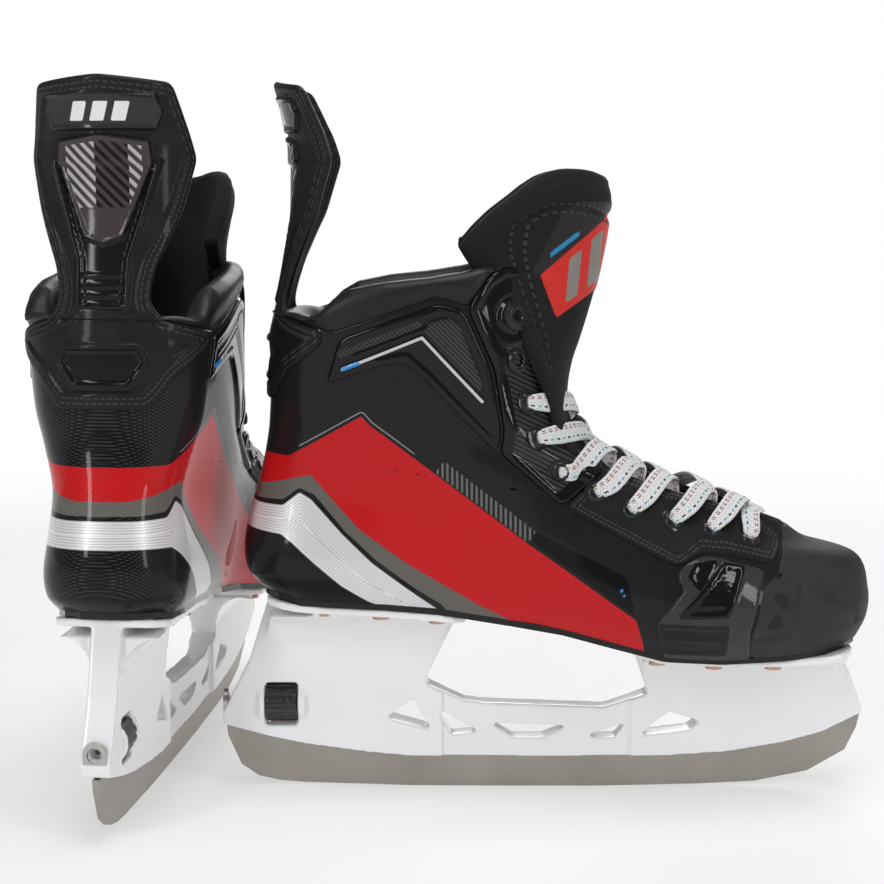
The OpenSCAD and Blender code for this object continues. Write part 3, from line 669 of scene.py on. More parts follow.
def metal_material(name, color, rough):
    n = Nodes(name, on_cad=True)
    wear = n.noise(0.7, 4)
    tint = n.mix(wear, tuple(c * 0.7 for c in color), color)
    return n.finish(tint, n.between(wear, rough - 0.08, rough + 0.1), n.bump(wear, 0.05, 0.4), 1.0)


def lace_material():
    """Flat white weave with three tracer threads, each at its share across, half width and two shades."""
    n = Nodes("lace_weave")
    along, across = n.values("along", "across")
    dark, red = (0.02, 0.02, 0.02), (0.45, 0.01, 0.02)
    blue_pair = ((0.02, 0.02, 0.03), (0.10, 0.42, 0.60))
    pitch = 3.4
    weave = n.wave(along + abs(across) * 3.0, 1.5)
    color = n.mix(weave, (0.56, 0.56, 0.57), (0.80, 0.80, 0.80))
    for place, width, shades in ((-0.5, 0.10, blue_pair), (0.42, 0.06, (red, dark)),
                                 (0.66, 0.06, (dark, red))):
        on = n.line(across - place, width, 0.03) * n.step(n.wave(along, pitch), 0.45, 0.1)
        shade = n.mix(n.step(n.wave(along + pitch / 3, pitch * 2), 0.5, 0.1), *shades)
        color = n.mix(on, color, shade)
    height = weave + n.wave(across, 0.5) * 0.6
    return n.finish(color, 0.7, n.bump(height, 0.28, 0.8), Sheen_Weight=0.2)


def rubber_material():
    n = Nodes("knurled_rubber", on_cad=True)
    cells = n.cells(0.55)
    color = n.mix(n.step(cells, 0.08, 0.04), (0.03, 0.03, 0.032), (0.009, 0.009, 0.010))
    return n.finish(color, 0.34, n.bump(cells, 0.5, 0.8))


def cloth_material():
    n = Nodes("footbed_cloth", on_cad=True)
    weave = n.wave(n.x, 1.2) * n.wave(n.y, 1.2)
    color = n.mix(weave, (0.03, 0.03, 0.033), (0.11, 0.11, 0.12))
    return n.finish(color, 0.8, n.bump(weave, 0.3, 0.7), Sheen_Weight=0.2)


def panel_material(name, rib_pitch, rib_turn, net=False):
    """Gloss plastic whose ribbed field is where the value ribs is above 0."""
    n = Nodes(name)
    ribs, silver, mark = n.values("ribs", "silver", "mark")
    c, s = math.cos(math.radians(rib_turn)), math.sin(math.radians(rib_turn))
    across = n.x * c + n.z * s
    wave = n.wave(across, rib_pitch)
    if net:
        cross = n.x * s - n.z * c
        wave = n.wave(across + cross, rib_pitch).either(n.wave(across - cross, rib_pitch))
    field = n.step(ribs, 0.0, 0.2)
    lines = wave * field
    color = n.mix(n.noise(0.5), (0.002, 0.002, 0.0025), (0.006, 0.006, 0.007))
    color = n.mix(lines, color, (0.045, 0.045, 0.048))
    color = n.mix(n.step(silver, 0, 0.15), color, (0.55, 0.55, 0.57))
    color = n.mix(n.step(mark, 0, 0.15), color, BLUE)
    bump = n.bump(lines, 0.3, 0.8, n.bump(n.noise(1.2, 2), 0.05, 0.3))
    return n.finish(color, n.between(field, 0.12, 0.3), bump, Coat_Weight=0.7, Coat_Roughness=0.05,
                    Coat_IOR=1.33, Specular_IOR_Level=0.1)


def guard_material():
    """Textured moulding with two stitch rows, gloss fields, a badge plate and a striped window."""
    n = Nodes("guard_moulded")
    seam, along, gloss, badge, window, light = n.values("seam", "along", "gloss", "badge", "window", "light")
    near, stitch = stitches(n, seam, along, 3.6, 1.1, 0.3, 3.0, soft=0.12)
    shiny = n.step(gloss, 0, 0.25)
    base = n.mix(n.noise(0.12, 4), (0.005, 0.005, 0.0055), (0.013, 0.013, 0.014))
    color = n.mix(stitch, n.mix(near, base, (0.008, 0.008, 0.008)), (0.05, 0.05, 0.052))
    color = n.mix(shiny, color, (0.008, 0.008, 0.009))
    color = n.mix(n.step(badge, 0, 0.15), color, (0.030, 0.030, 0.032))
    color = n.mix(n.step(window, 0, 0.15), color, (0.055, 0.045, 0.050))
    stripe = n.step(n.wave(n.y + n.z, 4.6), 0.55, 0.06) * (n.step(window, 1.8, 0.1) * n.step(n.z, 264, 0.3))
    pale = stripe * n.line(n.y + 9.5, 6.5).either(n.line(n.y - 13.5, 2.6))
    color = n.mix(stripe * n.line(n.y - 4.0, 7.5), color, (0.010, 0.008, 0.009))
    color = n.mix(pale, color, (0.42, 0.40, 0.41))
    color = n.mix(n.step(light), color, (0.75, 0.75, 0.76))
    smooth = shiny.either(n.step(window, 0, 0.2)).either(n.step(badge, 0, 0.2))
    height = (1 - smooth) * (n.cells(1.7) * 0.8) + (stitch * 1.6 - near * 0.8)
    return n.finish(color, n.between(smooth, 0.5, 0.13), n.bump(height, 0.22, 0.8), Coat_Weight=0.1,
                    Coat_Roughness=0.1, Specular_IOR_Level=0.15)


def tongue_material():
    """Brushed felt with a woven shield, a red label with plain bars, a blue tab and a stitched rim."""
    n = Nodes("tongue_cover")
    red, shield, tab, rim, along, bars = n.values("red", "shield", "tab", "rim", "along", "bars")
    fuzz = n.noise(1.6, 6, 0.7)
    shield_on, red_on = n.step(shield, 0, 0.2), n.step(red, 0, 0.2)
    near, stitch = stitches(n, rim, along, 11.5, 1.4, 0.32, 2.8, 0.3, 0.12)
    weave = n.wave(n.x + n.z, 1.2) * n.wave(n.x - n.z, 1.2)
    color = n.mix(fuzz, (0.004, 0.004, 0.004), (0.017, 0.017, 0.018))
    color = n.mix(shield_on, color, n.mix(weave, (0.006, 0.006, 0.006), (0.035, 0.035, 0.037)))
    color = n.mix(red_on, color, n.mix(n.noise(0.8), (0.50, 0.012, 0.010), (0.66, 0.03, 0.02)))
    color = n.mix(red_on * n.step(bars, 0, 0.2), color, (0.22, 0.21, 0.19))
    color = n.mix(n.step(tab, 0, 0.15), color, (0.02, 0.22, 0.45))
    color = n.mix(stitch, n.mix(near, color, (0.004, 0.004, 0.004)), (0.04, 0.04, 0.042))
    height = fuzz * 0.8 + (stitch - near)
    return n.finish(color, n.between(shield_on.either(red_on), 0.82, 0.4), n.bump(height, 0.35, 0.7),
                    Sheen_Weight=0.05, Sheen_Roughness=0.4, Specular_IOR_Level=0.2)


shell_look = shell_material()
gloss_look = gloss_material()
ring_look = gloss_material("lacquered_ring", (0.010, 0.010, 0.011))
cap_look = cap_material()
sewn_look = sewn_material()
leather_look = leather_material()
lining_look = lining_material()
holder_look = holder_material()
steel_look = steel_material()
rivet_look = metal_material("copper_rivet", (0.62, 0.36, 0.26), 0.32)
bolt_look = metal_material("turned_steel", (0.55, 0.54, 0.52), 0.3)
lace_look = lace_material()
wheel_look = rubber_material()
footbed_look = cloth_material()
eyestay_look = panel_material("eyestay_gloss", 1.9, 62)
ankle_look = panel_material("ankle_gloss", 1.5, 45)
side_look = panel_material("side_gloss", 1.25, 0, net=True)
guard_look = guard_material()
tongue_look = tongue_material()


def dress(node, look, bevel):
    """A CAD node keeps its shape and takes a material, and its edges are softened."""
    obj = nodes[node]
    obj.data.materials.clear()
    obj.data.materials.append(look)
    obj.data.polygons.foreach_set("use_smooth", [True] * len(obj.data.polygons))
    obj.data.set_sharp_from_angle(angle=math.radians(35))
    soften = obj.modifiers.new("soften", "BEVEL")
    soften.width, soften.segments, soften.limit_method = bevel * MM, 2, "ANGLE"
    soften.angle_limit = math.radians(40)


# ---------------------------------------------------------------- camera, light and floor
def add_camera():
    data = bpy.data.cameras.new("photo_camera")
    data.lens, data.sensor_width = 73.3, 36
    cam = bpy.data.objects.new("photo_camera", data)
    bpy.context.scene.collection.objects.link(cam)
    cam.location = right.row([[-48, -800, 269]])[0]
    pitch = math.radians(7.89)
    cam.rotation_euler = (math.pi / 2 - pitch, 0, 0)
    data.shift_y = 0.003
    data.clip_start, data.clip_end = 0.05, 60
    bpy.context.scene.camera = cam


def add_area(name, place, aim, size, power):
    data = bpy.data.lights.new(name, "AREA")
    data.shape, data.size, data.size_y = "RECTANGLE", size[0], size[1]
    data.energy = power
    lamp = bpy.data.objects.new(name, data)
    bpy.context.scene.collection.objects.link(lamp)
    lamp.location = place
    lamp.rotation_euler = (Vector(aim) - Vector(place)).to_track_quat("-Z", "Y").to_euler()


def add_studio():
    add_area("key", (-1.3, -1.6, 1.1), (0, 0, 0.15), (0.22, 1.5), 17)
    add_area("fill", (1.5, -1.3, 0.9), (0, 0, 0.12), (0.25, 1.4), 11)
    add_area("top", (0.1, -0.2, 2.0), (0, 0, 0.1), (1.1, 1.1), 19)
    add_area("rear", (0.3, 1.9, 1.1), (0, 0, 0.15), (1.4, 0.8), 13)
    world = bpy.data.worlds.new("studio")
    bpy.context.scene.world = world
    world.use_nodes = True
    tree = world.node_tree
    seen, lit = tree.nodes["Background"], tree.nodes.new("ShaderNodeBackground")
    for node, strength in ((seen, 1.0), (lit, 0.22)):
        node.inputs[0].default_value = (1, 1, 1, 1)
        node.inputs[1].default_value = strength
    ray, both = tree.nodes.new("ShaderNodeLightPath"), tree.nodes.new("ShaderNodeMixShader")
    for out, into in ((ray.outputs["Is Camera Ray"], both.inputs[0]),
                      (lit.outputs[0], both.inputs[1]),
                      (seen.outputs[0], both.inputs[2]),
                      (both.outputs[0], tree.nodes["World Output"].inputs[0])):
        tree.links.new(out, into)
    bpy.context.scene.view_settings.view_transform = "Standard"
    add_floor()


def add_floor():
    """A pale floor that fades into the white background away from the object."""
    n = Nodes("pale_floor", on_cad=True)
    n.finish(n.mix(n.noise(0.002), (0.90, 0.90, 0.90), (0.93, 0.93, 0.93)), 0.6)
    away = n.node("VectorMath", {0: n.at}, "Value", operation="LENGTH")
    fade = (n.step(away, 620, 420) * n.step(n.y, 150, 300)).either(0.45)
    glow = n.node("Emission", {})
    both = n.node("MixShader", {0: fade, 1: Value(n, n.shader.outputs[0]), 2: glow})
    n.link(both, n.tree.nodes["Material Output"].inputs[0])
    mesh = bpy.data.meshes.new("floor")
    half = 14
    corners = [(-half, -half, 0), (half, -half, 0), (half, half, 0), (-half, half, 0)]
    mesh.from_pydata(corners, [], [(0, 1, 2, 3)])
    mesh.materials.append(n.material)
    floor = bpy.data.objects.new("floor", mesh)
    bpy.context.scene.collection.objects.link(floor)


add_camera()
add_studio()


# ---------------------------------------------------------------- laces
# Eyelets from the collar down to the toe, and the middle of the throat between each pair and the next
EYELETS = np.array([[-17.5, 30, 218], [-16.5, 31, 199], [-12, 30.5, 180.5], [-7.5, 32, 165], [3, 31, 151],
                    [18.5, 30.5, 141], [33.5, 32, 133.5], [51.5, 31, 128.5], [68.5, 28, 124], [86, 25.5, 119]])
FIRST_LACED = 2
THROAT_MID = np.array([[9, 175], [16, 163], [26, 154], [39, 147], [54, 141], [71, 136], [86, 132], [96.5, 126]])
LACE_WIDTH, LACE_THICK = 8.0, 1.4


def eyelet_place(p):
    """Centre and outward normal of an eyelet on the boot's left side."""
    w, t = on_side([[p[0], p[2]]])
    return surface(w, t)[0], outward(w, t)[0]


eyelet_at = [eyelet_place(p) for p in EYELETS]


def ribbon(line, up, widths, thick, start=0.0):
    """A flat woven band along a line, with its face towards up: points, faces, mm along, share across."""
    line, up = np.asarray(line, float), np.asarray(up, float)
    ahead = unit(np.gradient(line, axis=0))
    wide = unit(np.cross(up, ahead))
    up = np.cross(ahead, wide)
    half = [(-1, 0.25), (-0.82, 0.85), (-0.45, 1), (0, 0.9), (0.45, 1), (0.82, 0.85), (1, 0.25)]
    shape = half + [(a, -b) for a, b in reversed(half)]
    points = np.stack([line + wide * (a * widths / 2)[:, None] + up * b * thick / 2 for a, b in shape], 1)
    rows, cols = points.shape[:2]
    mm = start + np.r_[0, np.cumsum(np.linalg.norm(np.diff(line, axis=0), axis=1))]
    along = np.repeat(mm, cols)
    across = np.tile([a for a, _ in shape], rows)
    return points.reshape(-1, 3), tube_faces(rows, cols), along, across


def lace_band(marks, start=0.0):
    """A lace through marks, each a point, the direction its face looks, and its width."""
    route = np.array([np.r_[p, unit(up) * 10, width] for p, up, width in marks])
    line = smooth_line(route, 1.3)
    return ribbon(line[:, :3], line[:, 3:6], line[:, 6], LACE_THICK, start)


def join(parts):
    """One mesh from several (points, faces, along, across)."""
    points, faces, along, across, start = [], [], [], [], 0
    for p, f, a, b in parts:
        points.append(p)
        along.append(a)
        across.append(b)
        faces += [tuple(v + start for v in face) for face in f]
        start += len(p)
    return np.concatenate(points), faces, np.concatenate(along), np.concatenate(across)


def strand(i, s, over):
    """One crossing, from eyelet i on side s to the next eyelet on the other side."""
    (a, na), (b, nb) = eyelet_at[i], eyelet_at[i + 1]
    flip, back = np.array([1, s, 1.0]), np.array([1, -s, 1.0])
    a, na, b, nb = a * flip, na * flip, b * back, nb * back
    mid = THROAT_MID[i - FIRST_LACED]
    lift = unit(np.array([1, 0, 0.45]) if EYELETS[i][0] < 0 else np.array([0.35, 0, 1]))
    middle = np.array([mid[0], 0, mid[1]]) + lift * (1.6 if over else 0.2)
    go = unit(middle - a)
    clear = 6.4 + 3.2 * ease((EYELETS[i][0] + 8) / 12) - 3.2 * ease((EYELETS[i][0] - 45) / 20)
    marks = [
        (a - na * 4, go + na * 0.2, 4.0),
        (a + na * 0.6, na * 0.3 - go, 4.6),
        (a + na * 3.0 + go * 1.2, na - go * 0.8, 6.4),
        (a + (middle - a) * 0.3 + na * clear, na, 8.6),
        (a + (middle - a) * 0.65 + unit(na + lift) * clear, na + lift, 8.8),
        (middle + lift * 0.8, lift, 8.4),
        (middle + (b - middle) * 0.36 - lift * 1.2, lift + nb * 0.5, 8.0),
        (middle + (b - middle) * 0.7 - nb * 4.6, nb, 7.0),
        (b - nb * 5.6, nb, 5.0), (b - nb * 3.0, nb + unit(b - middle), 4.0)]
    return lace_band(marks, 37.0 * i + (11 if over else 0))


def toe_bar():
    """The straight bar over the last pair of eyelets."""
    a, na = eyelet_at[-1]
    mid = THROAT_MID[-1]
    top = np.array([mid[0] - 3, 0, mid[1] + 3.5])
    half = [(a - na * 4, na + [0, 1, 0], 4.0), (a + na * 0.8, na * 0.3 + [0, 1, 0], 4.8),
            (a + na * 4.2 + [0.5, -3, 1.5], na, 7.8),
            (a * [1, 0.5, 1] + [3, 0, top[2] - a[2] + 0.5], na + [0, 0, 1], 8.4)]
    other = [(p * [1, -1, 1], up * [1, -1, 1], w) for p, up, w in reversed(half)]
    return lace_band(half + [(top, np.array([0.3, 0, 1]), 8.4)] + other)


def build_laces():
    last = len(EYELETS) - 1
    parts = [toe_bar()]
    for k, i in enumerate(range(FIRST_LACED, last)):
        parts += [strand(i, s if k % 2 == 0 else -s, s < 0) for s in (-1, 1)]
    points, faces, along, across = join(parts)
    add_pair("laced_part", points, faces, lace_look, "lace", ["lace"],
             values=dict(along=along, across=across))


# Way of each free end from the first laced eyelet down to its coil, on the boot's left side
LACE_DROP = np.array([[-16, 27.5, 168], [-24, 25, 156], [-30, 22, 138], [-32, 18, 127], [-33, 15.5, 114]])
COIL_REAR, COIL_FRONT, COIL_BEND, COIL_Z, COIL_TILT = -90, -8, 17, 100, 6
COIL_TURNS, COIL_PITCH = 3, 3.0


def free_end(s):
    """Centre line in mm of one free end: down inside the boot, then three turns of an oval coil."""
    level = 0 if s < 0 else LACE_WIDTH + 0.8
    drop = smooth_line(LACE_DROP * [1, s, 1] + [[0, 0, (4.5 if s > 0 else -4.5) if k > 1 else 0]
                                                for k in range(len(LACE_DROP))], 3)
    steps = COIL_TURNS * 48
    turn = []
    for k in range(steps + 1):
        f = k / 48
        radius = COIL_BEND - COIL_PITCH / 2 - COIL_PITCH * f
        straight = (COIL_FRONT - COIL_REAR) - 2 * COIL_BEND
        total = 2 * straight + 2 * math.pi * radius
        d = (f % 1) * total
        if d < straight:
            p = (COIL_FRONT - COIL_BEND - d, radius)
        elif d < straight + math.pi * radius:
            a = (d - straight) / radius
            p = (COIL_REAR + COIL_BEND - radius * math.sin(a), radius * math.cos(a))
        elif d < 2 * straight + math.pi * radius:
            p = (COIL_REAR + COIL_BEND + d - straight - math.pi * radius, -radius)
        else:
            a = (d - 2 * straight - math.pi * radius) / radius
            p = (COIL_FRONT - COIL_BEND + radius * math.sin(a), -radius * math.cos(a))
        fall = (p[0] + 50) * math.tan(math.radians(COIL_TILT))
        turn.append((p[0], s * p[1], COIL_Z + LACE_WIDTH / 2 + level - fall))
    return np.concatenate([drop, np.array(turn)])


def build_free_ends():
    for skate in skates:
        for s, hand in ((-1, "outer"), (1, "inner")):
            line = even(smooth_line(free_end(s), 3), 3)
            ahead = np.gradient(line, axis=0)
            up = np.cross(ahead, [0.25, 0, 1.0])
            points, faces, along, across = ribbon(line, up, np.full(len(line), LACE_WIDTH), LACE_THICK)
            cord = add_piece(skate, f"lace_end_{hand}", points, faces, lace_look, "lace",
                             ["lace_coils"], values=dict(along=along, across=across))
            tip = aglet(skate, hand, line)
            path = skate.row(line)


def aglet(skate, hand, line):
    """The clear sleeve on a lace's tip."""
    axis = unit(line[-1] - line[-2])
    rings, sides = [(0, 1.5), (1.5, 1.9), (16, 1.7), (17.5, 1.1)], 14
    side = unit(np.cross(axis, [0, 0, 1]))
    up = np.cross(side, axis)
    points = []
    for along, radius in rings:
        for k in range(sides):
            a = 2 * math.pi * k / sides
            round_it = side * math.cos(a) + up * 1.3 * math.sin(a)
            points.append(line[-1] + axis * (along - 2) + round_it * radius)
    faces = tube_faces(len(rings), sides)
    return add_piece(skate, f"aglet_{hand}", np.array(points), faces, gloss_look, "lace", sharp=40)


build_laces()
build_free_ends()


# ---------------------------------------------------------------- shell with its painted bands
BAND_SEAM = [(-9.5, 79), (-31, 90.5), (-45.5, 99.5), (-63.5, 110.5), (-84, 125), (-98.5, 141), (-105, 149),
             (-128.5, 143), (-150, 146)]
RED_BAND = [(-150, 157), (-114.5, 157), (-99, 166), (-82.5, 175.5), (-79, 171.5), (-69, 164), (-10, 119),
            (35.5, 88), (39, 76.5), (46, 40), (10, 40)] + BAND_SEAM
GREY_BAND = BAND_SEAM[::-1] + [(0, 60), (-30, 60), (-48, 91), (-60.5, 99.5), (-77.5, 112.5), (-90.5, 124.5),
                               (-103.5, 140), (-110, 143), (-117.5, 137.5), (-128.5, 137), (-150, 139)]
WHITE_BAND = [(-150, 137), (-128.5, 135), (-117.5, 135), (-110, 141), (-105, 138), (-91.5, 123), (-78.5, 110.5),
              (-61.5, 97.5), (-50.5, 89), (-30, 75.5), (-60, 60), (-70.5, 88), (-80.5, 92.5), (-92, 100),
              (-104, 110.5), (-113.5, 119), (-118.5, 122.5), (-131, 123.5), (-150, 124.5)]
HATCH = [(-51, 151), (-10.5, 120), (-7.5, 125), (-47, 156)]
SIGN_PLATE = [(-10.5, 126.5), (31, 106.5), (35, 90), (-8, 119.5)]
BLUE_MARK = [(28, 102), (29.5, 102), (31, 98), (29.5, 98)]
# Creases of the toe cap: how deep, and the line on the side view
CAP_CREASES = [(1.0, [(98, 105.5), (116.5, 97.5), (131.5, 91.5), (135, 83.5)]),
               (0.8, [(108.5, 99.5), (103.5, 82.5)]), (0.8, [(85.5, 78.5), (101, 80.5)])]


def build_shell():
    w, t = skin_grid(150, 360, SHELL_TOP)
    outer, inner = skin_point(w, t), skin_point(w, t, -SHELL_WALL)
    points, faces = closed_skin(outer, inner, 1.0)
    marks = dict(red=RED_BAND, white=WHITE_BAND, grey=GREY_BAND, hatch=HATCH, plate=SIGN_PLATE,
                 mark=BLUE_MARK)
    values = {name: inside_by(points[:, [0, 2]], outline) for name, outline in marks.items()}
    add_pair("quarter", points, faces, shell_look, "shell", ["boot_shell"], 50, values)


def build_toe_cap():
    rows, cols = 80, 120
    share, along = np.meshgrid(np.linspace(0, 1, rows), np.linspace(0, 1, cols), indexing="ij")
    t = 4.42 * share
    front = cap_w(t)
    right_half = -(front + (1 - front) * along)
    w = np.concatenate([right_half, -right_half[:, -2::-1]], 1)
    t = np.concatenate([t, t[:, -2::-1]], 1)
    base = surface(w, t)
    flat = base[..., [0, 2]].reshape(-1, 2)
    creases = sum(deep * np.exp(-(line_distance(flat, line) / 1.6) ** 2) for deep, line in CAP_CREASES)
    creases = creases.reshape(base.shape[:2])
    outer = skin_point(w, t, 0.5 - creases)
    inner = skin_point(w, t, -SHELL_WALL + 0.5)
    points, faces = closed_skin(outer[:, ::-1], inner[:, ::-1], 0.6)
    add_pair("toe_box", points, faces, cap_look, "cap", ["toe_cap"])


build_shell()
build_toe_cap()


# ---------------------------------------------------------------- holder, runner and small metal parts
def build_holder():
    """The CAD holder with its edges softened."""
    source = nodes["right_holder"]
    mesh = bpy.data.meshes.new("holder_form")
    local = right.local([v.co for v in source.data.vertices])
    mesh.from_pydata(local.tolist(), [], [tuple(p.vertices) for p in source.data.polygons])
    obj = bpy.data.objects.new("holder_form", mesh)
    bpy.context.scene.collection.objects.link(obj)
    remesh = obj.modifiers.new("even", "REMESH")
    remesh.mode, remesh.voxel_size = "VOXEL", 0.8
    smooth = obj.modifiers.new("soften", "SMOOTH")
    smooth.factor, smooth.iterations = 0.5, 5
    done = obj.evaluated_get(bpy.context.evaluated_depsgraph_get()).to_mesh()
    points = np.array([v.co for v in done.vertices], float)
    faces = [tuple(p.vertices) for p in done.polygons]
    bpy.data.objects.remove(obj)
    add_pair("holder_body", points, faces, holder_look, "holder", ["holder"], 180)


# CAD nodes that keep their shape: material and bevel in mm
DRESSED = dict(runner=(steel_look, 0.25), rivets=(rivet_look, 0.3), lock_wheel=(wheel_look, 0.3),
               lock_bolt=(bolt_look, 0.2), lock_plate=(bolt_look, 0.2), outsole=(gloss_look, 0.6),
               footbed=(footbed_look, 1.0), toe_plugs=(gloss_look, 0.4))
build_holder()
for skate in skates:
    for part, (look, bevel) in DRESSED.items():
        dress(f"{skate.side}_{part}", look, bevel)


# ---------------------------------------------------------------- moulded panels and lacing panels
THROAT_INSET = 0.8


def throat_line(low, high, count=12):
    """Side-view points of the throat's edge between two rows, from the upper row down."""
    t = np.linspace(high, low, count)
    return surface(throat_w(t, THROAT_INSET), t)[:, [0, 2]].tolist()


def throat_row(z):
    """Row of the throat's edge at height z."""
    t = np.linspace(4.8, TOP_ROW, 200)
    heights = surface(throat_w(t, THROAT_INSET), t)[:, 2]
    return float(np.interp(z, heights, t))


SPLIT = throat_row(151)
EYESTAY = [(-37.5, 221.5), (-33, 229.5), (-28, 236), (-20.5, 239.5), (-13, 238.5), (-6, 235)] \
    + throat_line(SPLIT, 9.75) + [(4, 135.5), (-3.5, 142), (-23.5, 159.5), (-21.5, 168), (-26, 195.5)]
EYESTAY_INNER = [(-22, 205.5), (-10, 207), (-4.5, 204.5), (-4, 184.5), (2.5, 172), (11, 161.5), (19, 155.5),
                 (2, 140.5), (-3, 145), (-18.5, 160), (-17, 169), (-21.5, 193.5)]
EYESTAY_PAD = [(-33.5, 221), (-28.5, 231), (-21.5, 235.5), (-13.5, 234.5), (-6.5, 229), (-4.5, 219.5),
               (-4.5, 209), (-17, 208.5), (-23.5, 201), (-27, 207)]
LACING = throat_line(4.75, SPLIT, 14) + [(101.5, 120), (100.5, 115), (95.5, 110), (85.5, 112.5), (75, 115),
                                              (63.5, 116.5), (53, 111), (30.5, 121.5), (4.5, 135.5)]
LACING_INNER = [(9.5, 138), (26.5, 150.5), (36, 145.5), (54.5, 137.5), (78.5, 131.5), (90, 126.5), (88.5, 118),
                (78, 118), (54.5, 120), (31.5, 123)]
ANKLE = [(-97.5, 189.5), (-76, 197), (-64, 199), (-55.5, 191.5), (-24.5, 159), (-22.5, 168), (-27, 195.5),
         (-38.5, 221), (-50, 224), (-91.5, 209)]
ANKLE_LINE = [(-91, 195.5), (-85, 198), (-56.5, 209.5), (-31, 182)]
ANKLE_RIBS = [(-55.5, 211.5), (-53.5, 216), (-44.5, 218), (-40.5, 214.5), (-31, 190), (-32, 186.5)]
SIDE = [(51.5, 108.5), (57.5, 114), (65, 115.5), (70.5, 114.5), (92, 108.5), (89, 101), (84.5, 82), (87, 59.5),
        (50.7, 61), (43.5, 88), (54, 100.5), (55, 102.5)]
SIDE_TRIANGLE = [(58, 107.5), (61, 112), (68.5, 112), (61.5, 103)]
SIDE_WINDOW = [(72.5, 111), (80.5, 109.5), (73.5, 91.5), (54.5, 91.5)]
SIDE_BAR = [(46, 87), (73.5, 86), (73.5, 73.5), (47, 74.5)]


def near_line(points, line, width):
    """1 on a line and 0 width mm away from it."""
    return 1 - ease(line_distance(points, line) / width)


def add_side_piece(name, outline, height, look, slot, spacing, relief, values, stands_for=()):
    """A plate on both sides of each boot. values(points) gives its numbers from side-view points."""
    points, faces, flats = both_sides(lambda sign: side_plate(outline, height, sign, spacing, relief))
    add_pair(name, points, faces, look, slot, stands_for, values=values(flats))


def nowhere(p):
    return np.full(len(p), -1.0)


def eyestay_relief(p):
    ring = np.hypot(p[:, 0] - EYELETS[0][0], p[:, 1] - EYELETS[0][2])
    inner, pad = inside_by(p, EYESTAY_INNER), inside_by(p, EYESTAY_PAD)
    seat = 0.9 * ease((7.6 - ring) / 0.8) - 0.5 * ease((9.2 - ring) / 0.8)
    return seat - 0.8 * ease(inner / 0.9) - 0.5 * ease(pad / 0.8)


def eyestay_values(p):
    return dict(ribs=inside_by(p, EYESTAY_INNER) - 0.8, silver=nowhere(p), mark=nowhere(p))


def lacing_relief(p):
    fold = near_line(p, [(97, 128.5), (91.5, 113)], 1.2)
    return 0.6 * ease(inside_by(p, LACING_INNER) / 0.9) - 0.6 * fold + 0.5 * ease((p[:, 0] - 101.5) / 1.5)


def lacing_values(p):
    return dict(seam=inside_by(p, LACING) + 0.4, along=p[:, 0] - p[:, 1])


def ankle_relief(p):
    folds = near_line(p, [(-89, 204.5), (-51, 220)], 1.0) \
        + near_line(p, [(-85.5, 201.5), (-54.5, 213.5)], 1.0)
    return 0.6 * near_line(p, ANKLE_LINE, 1.1) - 0.7 * ease((inside_by(p, ANKLE) - 3.2) / 0.9) \
        + 0.35 * ease(inside_by(p, ANKLE_RIBS) / 0.6) + 0.4 * folds


def ankle_values(p):
    return dict(ribs=np.maximum(inside_by(p, ANKLE_RIBS), 1.5 - line_distance(p, [(-91, 202.5), (-58, 215)])),
                silver=0.6 - line_distance(p, ANKLE_LINE[1:]),
                mark=0.8 - line_distance(p, [(-90, 196), (-83.5, 198.5)]))


def side_fields(p):
    """Distance inside the sunk fields of the forefoot panel."""
    return np.max([inside_by(p, outline) for outline in (SIDE_WINDOW, SIDE_TRIANGLE, SIDE_BAR)], 0)


def side_relief(p):
    field = side_fields(p)
    rib = 0.22 * np.sin(p[:, 1] * 2 * math.pi / 1.6) * ease((inside_by(p, SIDE_WINDOW) - 1.8) / 0.5)
    return 0.5 * ease((field + 1.6) / 0.8) - 0.6 * ease((field - 0.5) / 0.8) + rib \
        + 0.4 * near_line(p, [(49, 81), (71, 80)], 1.0)


def side_values(p):
    return dict(ribs=-1.2 - side_fields(p), silver=nowhere(p), mark=nowhere(p))


def build_panels():
    add_side_piece("eyestay", EYESTAY, 1.9, eyestay_look, "gloss_trim", 1.1, eyestay_relief, eyestay_values,
                   ["facings"])
    add_side_piece("lacing_panel", LACING, 1.3, sewn_look, "facing", 1.2, lacing_relief, lacing_values)
    add_side_piece("ankle_moulding", ANKLE, 1.5, ankle_look, "gloss_trim", 0.8, ankle_relief, ankle_values,
                   ["ankle_panels"])
    add_side_piece("forefoot_panel", SIDE, 1.6, side_look, "gloss_trim", 1.0, side_relief, side_values,
                   ["side_panels"])


def build_eyelets():
    """Rolled black rings on a thin washer."""
    profile = [(2.2, -3.2), (2.2, 0.2), (2.45, 1.15), (3.1, 1.65), (3.85, 1.35), (4.2, 0.75), (4.5, 0.7),
               (5.2, 0.55), (5.45, 0.0), (5.3, -0.6), (3.2, -0.8), (3.1, -3.2)]
    turns = 32
    points, faces = [], []
    for k, (centre, normal) in enumerate(eyelet_at):
        for s in (-1, 1):
            c, n = centre * [1, s, 1], unit(normal * [1, s, 1])
            side = unit(np.cross(n, [0, 0, 1]))
            up = np.cross(side, n)
            base = c + n * (1.5 if k > 0 else 1.9)
            start = len(points)
            for radius, high in profile:
                grow = 1.25 if k == 0 and radius > 3 else 1.0
                for j in range(turns):
                    a = 2 * math.pi * j / turns
                    r = radius * grow + (0.08 if 4.3 < radius < 5.3 and j % 2 else 0)
                    points.append(base + n * high + (side * math.cos(a) + up * math.sin(a)) * r)
            faces += grid_faces(len(profile), turns, start, round_cols=True, round_rows=True)
    add_pair("eyelet_rings", np.array(points), faces, ring_look, "eyelet", ["eyelets"], 50)


build_panels()
build_eyelets()


